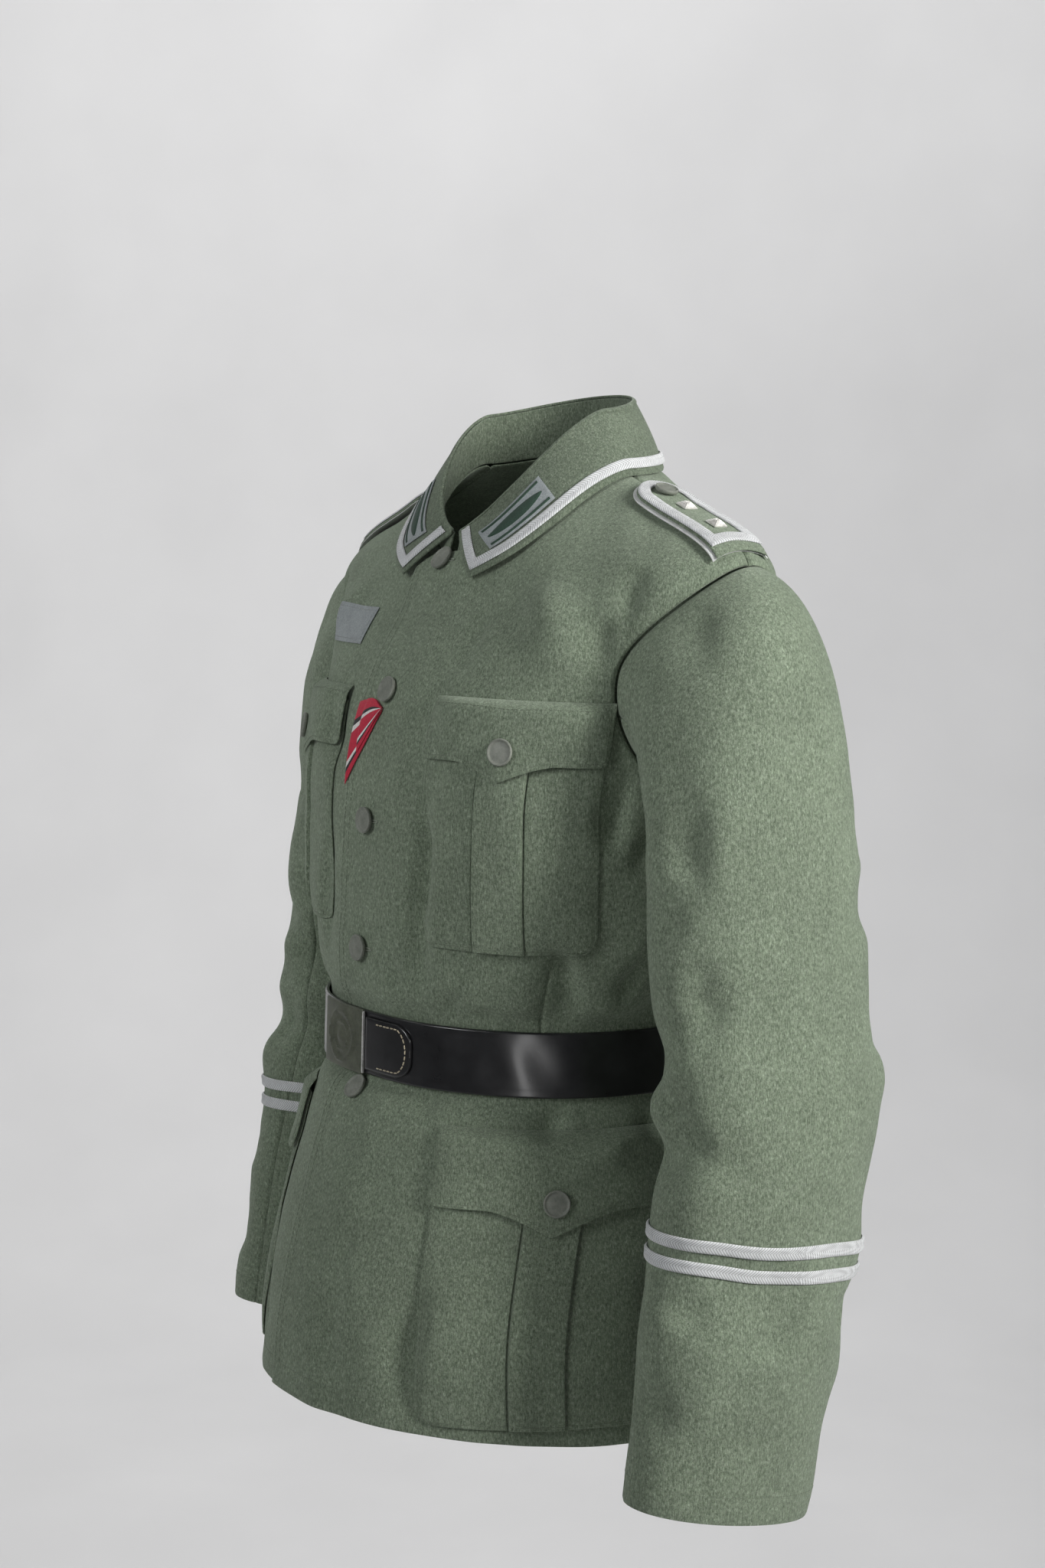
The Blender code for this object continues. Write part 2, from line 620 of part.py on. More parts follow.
def front_panel(side):
    levels = np.array(ROW_LEVELS)[:, None]
    lap = (LAP, LAP_AT_NECK) if side > 0 else (UNDERLAP, UNDERLAP_AT_NECK)
    inner = lap_turn(*lap, levels)
    outer = outer_turn(levels) - SEAM_TURN
    turns = inner + (outer - inner) * np.linspace(0, 1, FRONT_COLUMNS + 1)
    name = "left_front" if side > 0 else "right_front"
    shell(name, cloth(side, turns, levels, 0.0), cloth(side, turns, levels, -WALL), "wool")


def back_panel(side):
    levels = np.array(ROW_LEVELS)[:, None]
    outer = 2 * SIDE_TURN - outer_turn(levels) + SEAM_TURN
    turns = outer + (180.0 - SEAM_TURN - outer) * np.linspace(0, 1, BACK_COLUMNS + 1)
    where = side * turns
    out = torso(where, levels)
    name = "back_left" if side > 0 else "back_right"
    shell(name, out, out - torso_normal(where, levels) * WALL, "wool")


# Sleeves

SLEEVE_ROWS = np.concatenate([[0.0, 0.10, 0.25, 0.42, 0.60, 0.80], np.arange(1.0, 6.01, 0.25)])


def sleeve_piece(side, name, start, end, columns):
    rows = SLEEVE_ROWS[:, None]
    turns = np.linspace(start, end, columns + 1)
    turns[0] += SLEEVE_SEAM_TURN
    turns[-1] -= SLEEVE_SEAM_TURN
    turns, rows = np.broadcast_arrays(turns[None, :], rows)
    outer = sleeve(turns, rows)
    inner = outer - sleeve_normal(turns, rows) * WALL
    label = "left" if side > 0 else "right"
    shell(f"{label}_{name}", arm_side(outer, side, rows), arm_side(inner, side, rows), "wool")


def sleeve_rings(side):
    """Two flat bands of braid round the forearm."""
    label = "left" if side > 0 else "right"
    turns = np.arange(0.0, 360.0, HOLE_STEP)
    for number, place_name in enumerate(("upper", "lower")):
        top = RING_UPPER + number * RING_STEP
        rows = np.array([[top], [top + RING_WIDTH / SLEEVE_ROW_HEIGHT]])
        turn_grid, row_grid = np.broadcast_arrays(turns[None, :], rows)
        normal = sleeve_normal(turn_grid, row_grid)
        base = sleeve(turn_grid, row_grid)
        outer = base + normal * (RING_GAP + BRAID_WALL)
        inner = base + normal * RING_GAP
        shell(f"{label}_sleeve_braid_{place_name}", arm_side(outer, side, row_grid),
              arm_side(inner, side, row_grid), "braid", closed=True)


# Collar

def both_halves(turns):
    """The turns of one half and their mirror, in order round the neck."""
    half = np.array(turns)
    return np.concatenate([half, 360.0 - half[::-1][1:]])


def collar_stand():
    turns = both_halves(COLLAR_TURNS)[None, :]
    shares = np.array([[0.0], [0.5], [1.0]])
    outer = stand_point(turns, shares)
    inner = outer - neck_out(np.broadcast_to(turns, outer.shape[:2])) * WALL
    shell("collar_stand", outer, inner, "collar_wool")


def collar_fall():
    """The leaf that rolls over the stand's top and lies on the shoulders."""
    turns = both_halves(COLLAR_TURNS)
    out = neck_out(turns)
    normal = fall_normal(turns)
    up = np.array([0.0, 0.0, 1.0])
    corner = stand_point(turns, 1.0)
    inner_rows = [corner - out * WALL * 0.6 + up * REST_GAP, corner + unit(out + up) * REST_GAP]
    outer_rows = [inner_rows[0] + up * WALL, inner_rows[1] + unit(out + up) * WALL]
    for share in (0.0, 0.3, 0.65, 1.0):
        inner_rows.append(fall_point(turns, share))
        outer_rows.append(inner_rows[-1] + normal * WALL)
    shell("collar_fall", np.array(outer_rows), np.array(inner_rows), "collar_wool")


def fall_turn_from_end(distance, share):
    """Turn on the fall this far from its front end, at this share of the way down."""
    turns = np.linspace(4.0, 40.0, 73)
    line = fall_point(turns, share)
    run = np.concatenate([[0], np.cumsum(np.linalg.norm(np.diff(line, axis=0), axis=1))])
    return float(np.interp(distance, run, turns))


def collar_braid():
    """One band that follows the collar's front edges and its lower edge."""
    near, far = BRAID_INSET, BRAID_INSET + BRAID_WIDTH
    end_length = float(fall_length(4.0))
    near_low, far_low = 1 - near / end_length, 1 - far / end_length
    pairs = []
    for share in (0.10, 0.35, 0.55):
        pairs.append(((fall_turn_from_end(near, share), share), (fall_turn_from_end(far, share), share)))
    pairs.append(((fall_turn_from_end(near, near_low), near_low), (fall_turn_from_end(far, far_low), far_low)))
    for turn in COLLAR_TURNS[3:]:
        length = float(fall_length(turn))
        pairs.append(((turn, 1 - near / length), (turn, 1 - far / length)))
    mirrored = [((360 - a[0], a[1]), (360 - b[0], b[1])) for a, b in pairs[::-1][1:]]
    pairs = pairs + mirrored
    lift = WALL + COLLAR_GAP
    grid = np.array([[pair[line] for pair in pairs] for line in (0, 1)])
    outer = fall_point(grid[..., 0], grid[..., 1], lift + BRAID_WALL)
    inner = fall_point(grid[..., 0], grid[..., 1], lift)
    shell("collar_braid", outer, inner, "braid")


def collar_patch(side):
    turns = np.array(COLLAR_PATCH_TURNS)
    lengths = fall_length(turns)
    low = 1 - COLLAR_PATCH_LOW / lengths
    high = 1 - (COLLAR_PATCH_LOW + COLLAR_PATCH_HEIGHT) / lengths
    grid = np.array([low, 0.5 * (low + high), high])
    where = turns if side > 0 else 360.0 - turns
    turn_grid = np.broadcast_to(where, grid.shape)
    lift = WALL + COLLAR_GAP
    label = "left" if side > 0 else "right"
    outer = fall_point(turn_grid, grid, lift + THIN_WALL)
    shell(f"{label}_collar_patch", outer, fall_point(turn_grid, grid, lift), "trim")


# Pockets

def scallop(share):
    """How far a flap's edge has dropped to its point, for share -1 to 1 across the flap."""
    return np.clip(1 - np.abs(share) / 0.52, 0, 1) ** 1.4


def pocket(side, row):
    """Pocket bag with a box pleat, its flap, and its button."""
    label, centre, width, top_z, bottom_z, flap_z, point_z, button_z, lean, pleat, puff = row
    name = f"{'left' if side > 0 else 'right'}_{label}"
    pleat_share = pleat / width
    shares = np.array([-1.0, -0.86, -0.55, -pleat_share - 0.03, -pleat_share, 0.0, pleat_share,
                       pleat_share + 0.03, 0.55, 0.86, 1.0])
    heights = np.linspace(bottom_z, top_z - POCKET_BELOW_FLAP, 7)
    heights[1] = bottom_z + 0.010
    grid_share, grid_z = np.broadcast_arrays(shares[None, :], heights[:, None])
    round_in = np.where(grid_z <= bottom_z + 0.001, 0.93, 1.0)
    across = centre + lean * (top_z - grid_z) + grid_share * round_in * width / 2
    turns, levels = place(across, grid_z)
    rise = np.clip((grid_z - bottom_z) / 0.03, 0, 1)
    swell = puff * (1 - grid_share**4) * (0.25 + 0.75 * rise)
    fold = np.where(np.abs(grid_share) <= pleat_share + 0.001, PLEAT_RISE, 0.0)
    low = POCKET_GAP + swell
    shell(f"{name}_pocket", cloth(side, turns, levels, low + WALL + fold), cloth(side, turns, levels, low), "wool")

    shares = np.array([-1.0, -0.75, -0.52, -0.3, -0.12, 0.0, 0.12, 0.3, 0.52, 0.75, 1.0])
    down = np.array([0.0, 0.12, 0.45, 0.75, 1.0])[:, None]
    edge_z = flap_z + (point_z - flap_z) * scallop(shares)
    grid_z = top_z + (edge_z - top_z) * down
    grid_share = np.broadcast_to(shares, grid_z.shape)
    across = centre + lean * (top_z - grid_z) + grid_share * (width / 2 + FLAP_OVERHANG)
    turns, levels = place(across, grid_z)
    cover = WALL + PLEAT_RISE + POCKET_GAP
    low = REST_GAP + np.clip(down / 0.12, 0, 1) * (cover + puff * (1 - grid_share**4))
    shell(f"{name}_flap", cloth(side, turns, levels, low + WALL), cloth(side, turns, levels, low), "wool")

    turn, level = place(centre + lean * (top_z - button_z), button_z)
    lift = REST_GAP + cover + puff + WALL + REST_GAP
    point = cloth(side, turn, level, lift)
    button(f"{name}_button", point, torso_normal(side * turn, level), BUTTON_RADIUS)


# Closure, belt and trims

def front_buttons():
    for number, lift in enumerate(FRONT_BUTTON_LIFTS):
        z = TOP_BUTTON_Z - BUTTON_PITCH * number
        if number == len(FRONT_BUTTON_LIFTS) - 1:
            z -= LAST_BUTTON_DROP
        turn, level = place(0.0, z)
        point = cloth(1, turn, level, lift)
        button(f"front_button_{number + 1}", point, torso_normal(turn, level), BUTTON_RADIUS)


def belt_surface(turn, share, lift):
    """Point outside the belt's path, from its lower edge at share 0 to its upper edge at 1."""
    low = torso_base(turn, BELT_LOW)
    high = torso_base(turn, BELT_HIGH)
    fade = np.clip((np.abs(low[..., 0]) - BELT_FADE_START) / (BELT_FADE_END - BELT_FADE_START), 0, 1)
    in_front = np.cos(np.radians(turn)) > 0
    over = np.where(in_front, BELT_OVER_LAP * (1 - fade * fade * (3 - 2 * fade)), 0.0)
    normal = slope_normal(torso_base, turn, 0.5 * (BELT_LOW + BELT_HIGH), 0.5, 0.05)
    return low + (high - low) * share[..., None] + normal * (REST_GAP + over + lift)[..., None]


def belt_wall(name, turns, shares, lift, wall, material, closed=False):
    turns, shares = np.broadcast_arrays(turns, shares)
    outer = belt_surface(turns, shares, lift + wall)
    shell(name, outer, belt_surface(turns, shares, lift), material, closed)


def belt_band():
    turns = np.linspace(0, 360, BELT_COLUMNS, endpoint=False)[None, :]
    belt_wall("belt_band", turns, np.array([[0.0], [1.0]]), 0.0, BELT_WALL, "leather", closed=True)


def on_belt(name, across_from, across_to, margin, lift, wall, material, round_end=0.0):
    """A curved plate or tab that lies on the belt, narrower than it by margin on each edge."""
    across = np.linspace(across_from, across_to, 8)
    narrow = np.ones_like(across)
    if round_end:
        from_end = np.clip(np.abs(across_to - across), 0, round_end)
        narrow = 0.30 + 0.70 * np.sqrt(1 - ((round_end - from_end) / round_end) ** 2)
    half = 0.5 - margin / BELT_WIDTH
    rows = np.array([-1.0, -0.4, 0.4, 1.0])[:, None]
    turns = turn_of_across(across[None, :], 0.5 * (BELT_LOW + BELT_HIGH))
    belt_wall(name, turns, 0.5 + rows * half * narrow, lift, wall, material)


def belt_fittings():
    above = BELT_WALL + REST_GAP
    on_belt("belt_tab", TAB_START, TAB_END, TAB_MARGIN, above, WALL, "leather", round_end=0.016)
    on_belt("buckle_plate", PLATE_CENTRE + PLATE_WIDTH / 2, PLATE_CENTRE - PLATE_WIDTH / 2, -PLATE_MARGIN,
            above + PLATE_RISE, WALL, "buckle")


def strap_grid(lines, lift):
    """Points of a strap from rows of (x, y), at this lift over the shoulder."""
    return np.array([[strap_point(x, y, lift) for x, y in line] for line in lines])


def strap_outline(grow):
    """(x, half width) along a strap: square at the sleeve, round at the collar end."""
    half = STRAP_HALF_WIDTH + grow
    inner_x = STRAP_OUTER_X - STRAP_LENGTH - grow
    straight = np.linspace(STRAP_OUTER_X, inner_x + half, 5)
    angles = np.radians([22.0, 44.0, 62.0, 76.0])
    stations = [(x, half) for x in straight]
    stations += [(inner_x + half - half * math.sin(angle), half * math.cos(angle)) for angle in angles]
    return stations


def shoulder_strap(side):
    label = "left" if side > 0 else "right"
    mirror = np.array([float(side), 1.0, 1.0])
    lifts = {"underlay": REST_GAP, "strap": REST_GAP + UNDERLAY_WALL + STRAP_GAP}
    layers = (("underlay", STRAP_PIPING, UNDERLAY_WALL, "trim"), ("strap", 0.0, WALL, "wool"))
    for name, grow, wall, material in layers:
        stations = strap_outline(grow)
        lines = [[(x, half * share) for x, half in stations] for share in (-1.0, -0.5, 0.0, 0.5, 1.0)]
        inner = strap_grid(lines, lifts[name]) * mirror
        outer = strap_grid(lines, lifts[name] + wall) * mirror
        shell(f"{label}_shoulder_{name}", outer, inner, material)

    braid_lift = lifts["strap"] + WALL + STRAP_BRAID_GAP
    half = STRAP_HALF_WIDTH - 0.0005
    middle_x = STRAP_OUTER_X - STRAP_LENGTH + STRAP_HALF_WIDTH
    lines = []
    for inset in (0.0, BRAID_WIDTH):
        radius = half - inset
        end_x = STRAP_OUTER_X - STRAP_BRAID_END - inset
        line = [(x, -radius) for x in np.linspace(end_x, middle_x, 5)]
        line += [(middle_x - radius * math.sin(a), -radius * math.cos(a)) for a in np.radians(range(18, 180, 18))]
        line += [(x, radius) for x in np.linspace(middle_x, end_x, 5)]
        line += [(end_x, radius * share) for share in (0.5, 0.0, -0.5)]
        lines.append(line)
    inner = strap_grid(lines, braid_lift) * mirror
    outer = strap_grid(lines, braid_lift + BRAID_WALL) * mirror
    shell(f"{label}_shoulder_braid", outer, inner, "braid", closed=True)

    top = lifts["strap"] + WALL + STUD_GAP
    for name, x in PIP_PLACES:
        point = strap_point(x, 0.0, top) * mirror
        normal = (strap_point(x, 0.0, top + 0.01) - strap_point(x, 0.0, top)) * mirror
        pip(f"{label}_pip_{name}", point, normal, (0.0, 1.0, 0.0))
    point = strap_point(STRAP_BUTTON_X, 0.0, top) * mirror
    normal = (strap_point(STRAP_BUTTON_X, 0.0, top + 0.01) - strap_point(STRAP_BUTTON_X, 0.0, top)) * mirror
    button(f"{label}_shoulder_button", point, normal, STRAP_BUTTON_RADIUS)


def breast_patch():
    across = np.linspace(-0.5, 0.5, 5)[None, :] * PATCH_WIDTH - PATCH_CENTRE
    heights = np.array([[PATCH_LOW_Z], [0.5 * (PATCH_LOW_Z + PATCH_HIGH_Z)], [PATCH_HIGH_Z]])
    turns, levels = place(across, heights)
    outer = cloth(-1, turns, levels, REST_GAP + THIN_WALL)
    shell("breast_patch", outer, cloth(-1, turns, levels, REST_GAP), "trim")


def ribbon():
    """A short folded ribbon from the second buttonhole to the front edge."""
    across = column(RIBBON, "across")
    high = column(RIBBON, "high_z")
    low = column(RIBBON, "low_z")
    shares = np.array([[0.0], [0.5], [1.0]])
    grid_z = low + (high - low) * shares
    turns, levels = place(np.broadcast_to(across, grid_z.shape), grid_z)
    outer = cloth(1, turns, levels, REST_GAP + THIN_WALL)
    shell("ribbon", outer, cloth(1, turns, levels, REST_GAP), "ribbon")


def main():
    start_scene()
    make_materials()
    for side in (1, -1):
        front_panel(side)
        back_panel(side)
        sleeve_piece(side, "sleeve_upper", UNDER_SEAM_BACK, UNDER_SEAM_FRONT + 360.0, 10)
        sleeve_piece(side, "sleeve_under", UNDER_SEAM_FRONT, UNDER_SEAM_BACK, 6)
        sleeve_rings(side)
        collar_patch(side)
        shoulder_strap(side)
        for row in POCKETS[1:]:
            pocket(side, row)
    collar_stand()
    collar_fall()
    collar_braid()
    front_buttons()
    belt_band()
    belt_fittings()
    breast_patch()
    ribbon()


main()
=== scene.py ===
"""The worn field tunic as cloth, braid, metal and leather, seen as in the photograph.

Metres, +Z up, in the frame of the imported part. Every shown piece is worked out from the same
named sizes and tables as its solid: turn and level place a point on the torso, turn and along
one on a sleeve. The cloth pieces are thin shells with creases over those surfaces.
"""

import math

import bpy
import numpy as np
from mathutils import Matrix, Vector


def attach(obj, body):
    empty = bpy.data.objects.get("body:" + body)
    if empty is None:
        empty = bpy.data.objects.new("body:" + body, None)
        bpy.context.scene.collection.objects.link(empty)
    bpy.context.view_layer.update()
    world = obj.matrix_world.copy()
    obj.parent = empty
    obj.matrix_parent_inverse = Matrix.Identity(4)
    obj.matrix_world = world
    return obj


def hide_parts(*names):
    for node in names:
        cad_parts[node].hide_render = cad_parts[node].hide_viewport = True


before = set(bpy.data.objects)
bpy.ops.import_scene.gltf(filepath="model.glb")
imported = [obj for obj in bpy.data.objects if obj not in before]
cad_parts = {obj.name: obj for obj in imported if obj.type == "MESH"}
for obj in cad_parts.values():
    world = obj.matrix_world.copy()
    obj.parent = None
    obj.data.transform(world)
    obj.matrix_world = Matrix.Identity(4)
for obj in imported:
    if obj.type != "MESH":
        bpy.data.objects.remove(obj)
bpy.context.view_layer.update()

# Cloth and its clearances
WALL = 0.0020
THIN_WALL = 0.0010
BELT_WALL = 0.0030
SEAM_TURN = 0.08
SLEEVE_SEAM_TURN = 0.16
ARMHOLE_SHRINK = 0.995
REST_GAP = 0.0007

# How the left front laps over the right front
LAP = 0.038
LAP_AT_NECK = 0.014
UNDERLAP = 0.020
UNDERLAP_AT_NECK = 0.008
LAP_LIFT = 0.0030
LAP_FADE_START = 0.024
LAP_FADE_END = 0.056

# Torso sections from the hem to the neckline, with heights at the front, side and back
TORSO = (
    ("name", "front_z", "side_z", "back_z", "half_width", "front_depth", "back_depth", "squareness",
     "prow"),
    ("hem", -0.686, -0.696, -0.696, 0.199, 0.195, 0.150, 2.30, 0.022),
    ("skirt", -0.618, -0.623, -0.623, 0.196, 0.186, 0.146, 2.30, 0.024),
    ("hip", -0.547, -0.550, -0.550, 0.182, 0.171, 0.138, 2.30, 0.022),
    ("under_belt", -0.472, -0.474, -0.474, 0.168, 0.159, 0.125, 2.30, 0.010),
    ("belt_low", -0.450, -0.452, -0.452, 0.161, 0.154, 0.117, 2.30, 0.000),
    ("belt_high", -0.403, -0.405, -0.405, 0.160, 0.153, 0.116, 2.30, 0.000),
    ("over_belt", -0.382, -0.384, -0.384, 0.169, 0.159, 0.123, 2.30, 0.000),
    ("blouse", -0.334, -0.334, -0.334, 0.187, 0.158, 0.131, 2.30, 0.000),
    ("chest", -0.275, -0.275, -0.275, 0.195, 0.155, 0.134, 2.30, 0.000),
    ("armpit", -0.222, -0.232, -0.222, 0.202, 0.150, 0.133, 2.30, 0.000),
    ("mid_hole", -0.160, -0.140, -0.150, 0.205, 0.133, 0.125, 2.25, 0.000),
    ("shoulder", -0.108, -0.072, -0.080, 0.238, 0.104, 0.104, 1.95, 0.000),
    ("yoke", -0.082, -0.032, -0.030, 0.159, 0.094, 0.086, 1.95, 0.000),
    ("neck", -0.068, 0.000, 0.012, 0.078, 0.084, 0.064, 2.00, 0.000),
)
HEM, BELT_LOW, BELT_HIGH, ARMPIT, SHOULDER, NECK = 0.0, 4.0, 5.0, 9.0, 11.0, 13.0
SIDE_TURN = 92.0
HOLE_TURN = 30.0
PROW_TURN = 60.0
SIDE_SWEEP = 1.6
BELT_HOLD = 0.9

# How far to each side of a place, in turn and level, its normal is taken from
NORMAL_STEPS = (0.5, 0.05)

# Soft folds of the torso: where each one peaks, how far it reaches, and how far it stands out
TORSO_FOLDS = (
    ("name", "turn", "level", "reach_turn", "reach_level", "lean", "depth"),
    ("left_flute", 106.0, 0.0, 10.0, 2.3, -2.0, 0.012),
    ("left_hollow", 128.0, 0.0, 10.0, 2.0, 0.0, -0.008),
    ("back_left_flute", 152.0, 0.0, 10.0, 2.3, 0.0, 0.010),
    ("back_hollow", 181.0, 0.0, 12.0, 1.9, 0.0, -0.006),
    ("back_right_flute", 209.0, 0.0, 11.0, 2.4, 0.0, 0.011),
    ("right_hollow", 233.0, 0.0, 10.0, 2.1, 0.0, -0.008),
    ("right_flute", 256.0, 0.0, 11.0, 2.2, 2.0, 0.012),
    ("left_blouse", 76.0, 6.6, 7.0, 0.9, 3.0, 0.007),
    ("left_side_blouse", 100.0, 6.4, 7.0, 1.0, -2.0, 0.008),
    ("back_left_blouse", 140.0, 6.5, 10.0, 1.1, -3.0, 0.008),
    ("back_blouse", 176.0, 6.3, 9.0, 0.8, 1.0, 0.006),
    ("back_right_blouse", 214.0, 6.6, 10.0, 1.2, 3.0, 0.008),
    ("right_side_blouse", 262.0, 6.4, 7.0, 1.0, 2.0, 0.008),
    ("right_blouse", 286.0, 6.5, 7.0, 0.8, -3.0, 0.007),
    ("front_gather", 14.0, 6.5, 5.0, 0.7, 2.0, 0.003),
    ("left_blade", 126.0, 8.3, 14.0, 1.3, 4.0, 0.005),
    ("right_blade", 236.0, 8.1, 15.0, 1.2, -4.0, 0.005),
)

# Sleeve sections from the biceps to the cuff; right_back is how far the right arm hangs behind
SLEEVE = (
    ("name", "z", "centre_x", "centre_y", "half_width", "half_depth", "slope", "right_back"),
    ("biceps", -0.271, 0.256, -0.003, 0.052, 0.085, 0.00, 0.022),
    ("upper_arm", -0.346, 0.262, -0.002, 0.054, 0.086, 0.02, 0.018),
    ("elbow", -0.446, 0.270, 0.000, 0.055, 0.083, 0.06, 0.014),
    ("forearm", -0.533, 0.274, -0.014, 0.050, 0.079, 0.14, 0.009),
    ("wrist", -0.624, 0.276, -0.030, 0.048, 0.077, 0.18, 0.005),
    ("cuff", -0.716, 0.275, -0.044, 0.043, 0.073, 0.20, 0.002),
)
CUFF = 6.0
UNDER_SEAM_FRONT = 112.5
UNDER_SEAM_BACK = 247.5
HEAD_OUT = (1.0, -0.22, -0.22)
HEAD_FULLNESS = 1.05
ROUND_SLEEVE = 0.95

# Soft folds of a sleeve, placed by the turn round the arm and the row along it
SLEEVE_FOLDS = (
    ("name", "turn", "along", "reach_turn", "reach_along", "lean", "depth"),
    ("head_break", 75.0, 0.75, 26.0, 0.22, 0.0, -0.006),
    ("back_break", 282.0, 0.80, 30.0, 0.25, 0.0, -0.006),
    ("elbow_crease_high", 112.0, 2.62, 42.0, 0.20, -0.004, -0.006),
    ("elbow_roll", 105.0, 2.98, 46.0, 0.20, 0.003, 0.006),
    ("elbow_crease_low", 100.0, 3.34, 40.0, 0.19, 0.004, -0.006),
    ("elbow_point", 270.0, 3.05, 38.0, 0.45, 0.0, 0.007),
    ("forearm_roll", 68.0, 3.75, 32.0, 0.24, -0.004, 0.004),
    ("forearm_hollow", 45.0, 4.25, 34.0, 0.28, 0.005, -0.005),
    ("back_forearm_roll", 300.0, 4.0, 34.0, 0.26, 0.004, 0.005),
    ("cuff_hollow", 80.0, 5.2, 30.0, 0.35, 0.0, -0.004),
    ("outer_hollow", 350.0, 2.3, 32.0, 0.40, 0.0, -0.004),
)

# Collar, from the front end to the centre back of one half
COLLAR = (
    ("name", "turn", "stand", "edge_turn", "edge_level", "edge_lift"),
    ("front_end", 4.0, 0.015, 14.0, 11.66, 0.0046),
    ("front", 15.0, 0.019, 26.0, 11.95, 0.0042),
    ("front_side", 35.0, 0.025, 44.0, 12.32, 0.0026),
    ("side_front", 62.0, 0.032, 66.0, 12.56, 0.0016),
    ("side", 92.0, 0.036, 92.0, 12.62, 0.0016),
    ("side_back", 130.0, 0.038, 132.0, 12.64, 0.0016),
    ("centre_back", 180.0, 0.038, 180.0, 12.66, 0.0016),
)
STAND_LIFT = 0.0006
STAND_LEAN = 0.004
FALL_BOW = 0.002
FALL_START_DROP = 0.002
BRAID_WIDTH = 0.009
BRAID_INSET = 0.005
BRAID_WALL = 0.0010
COLLAR_PATCH_TURNS = (15.5, 22.0, 30.0, 40.0, 50.0)
COLLAR_PATCH_LOW = 0.0165
COLLAR_PATCH_HEIGHT = 0.026
COLLAR_PATCH_LENGTH = 0.044
COLLAR_PATCH_STEP = 0.0015
COLLAR_PATCH_EDGE = (0.0006,)
COLLAR_PATCH_ROWS = 22

# Buttons
BUTTON_RADIUS = 0.0098
BUTTON_HEIGHT = 0.0042
TOP_BUTTON_Z = -0.0745
BUTTON_PITCH = 0.094
FRONT_BUTTON_LIFTS = (0.0007, 0.0003, 0.0007, 0.0007, -0.0003)
LAST_BUTTON_DROP = 0.012
STRAP_BUTTON_RADIUS = 0.0085

# Pockets: centre and width across the front from the centre, heights, and how far the pleat leans
POCKETS = (
    ("name", "centre", "width", "top_z", "bottom_z", "flap_z", "point_z", "button_z", "lean", "pleat",
     "puff"),
    ("breast", 0.1320, 0.142, -0.168, -0.346, -0.213, -0.226, -0.205, 0.00, 0.037, 0.0030),
    ("lower", 0.1830, 0.176, -0.473, -0.680, -0.529, -0.547, -0.523, 0.10, 0.039, 0.0035),
)
FLAP_OVERHANG = 0.002
POCKET_BELOW_FLAP = 0.011
PLEAT_RISE = 0.0018

# Belt and buckle
BELT_WIDTH = 0.047
BELT_MIDDLE = 0.5 * (BELT_LOW + BELT_HIGH)
BELT_OVER_LAP = 0.0036
BELT_FADE_START = 0.044
BELT_FADE_END = 0.124
PLATE_WIDTH = 0.060
PLATE_CENTRE = -0.027
PLATE_MARGIN = 0.0008
PLATE_RISE = 0.0001
TAB_START = 0.007
TAB_END = 0.056
TAB_MARGIN = 0.004

# Shoulder straps
STRAP_OUTER_X = 0.231
STRAP_LENGTH = 0.104
STRAP_HALF_WIDTH = 0.0225
STRAP_PIPING = 0.002
STRAP_BRAID_END = 0.006
UNDERLAY_WALL = 0.0012
STRAP_BUTTON_X = 0.146
PIP_PLACES = (("inner", 0.170), ("outer", 0.203))
PIP_SIZE = 0.011
PIP_HEIGHT = 0.004
STRAP_FLATTEN = 0.45

# Sleeve rings
RING_WIDTH = 0.0090
RING_UPPER = 3.92
RING_STEP = 0.185
SLEEVE_ROW_HEIGHT = 0.089

# Breast patch and ribbon
PATCH_CENTRE = -0.108
PATCH_WIDTH = 0.066
PATCH_HIGH_Z = -0.110
PATCH_LOW_Z = -0.138
RIBBON = (
    ("name", "across", "high_z", "low_z"),
    ("buttonhole", -0.001, -0.1815, -0.1835),
    ("middle", -0.013, -0.1760, -0.2050),
    ("outer", -0.025, -0.1770, -0.2240),
    ("front_edge", -0.035, -0.1790, -0.2400),
)


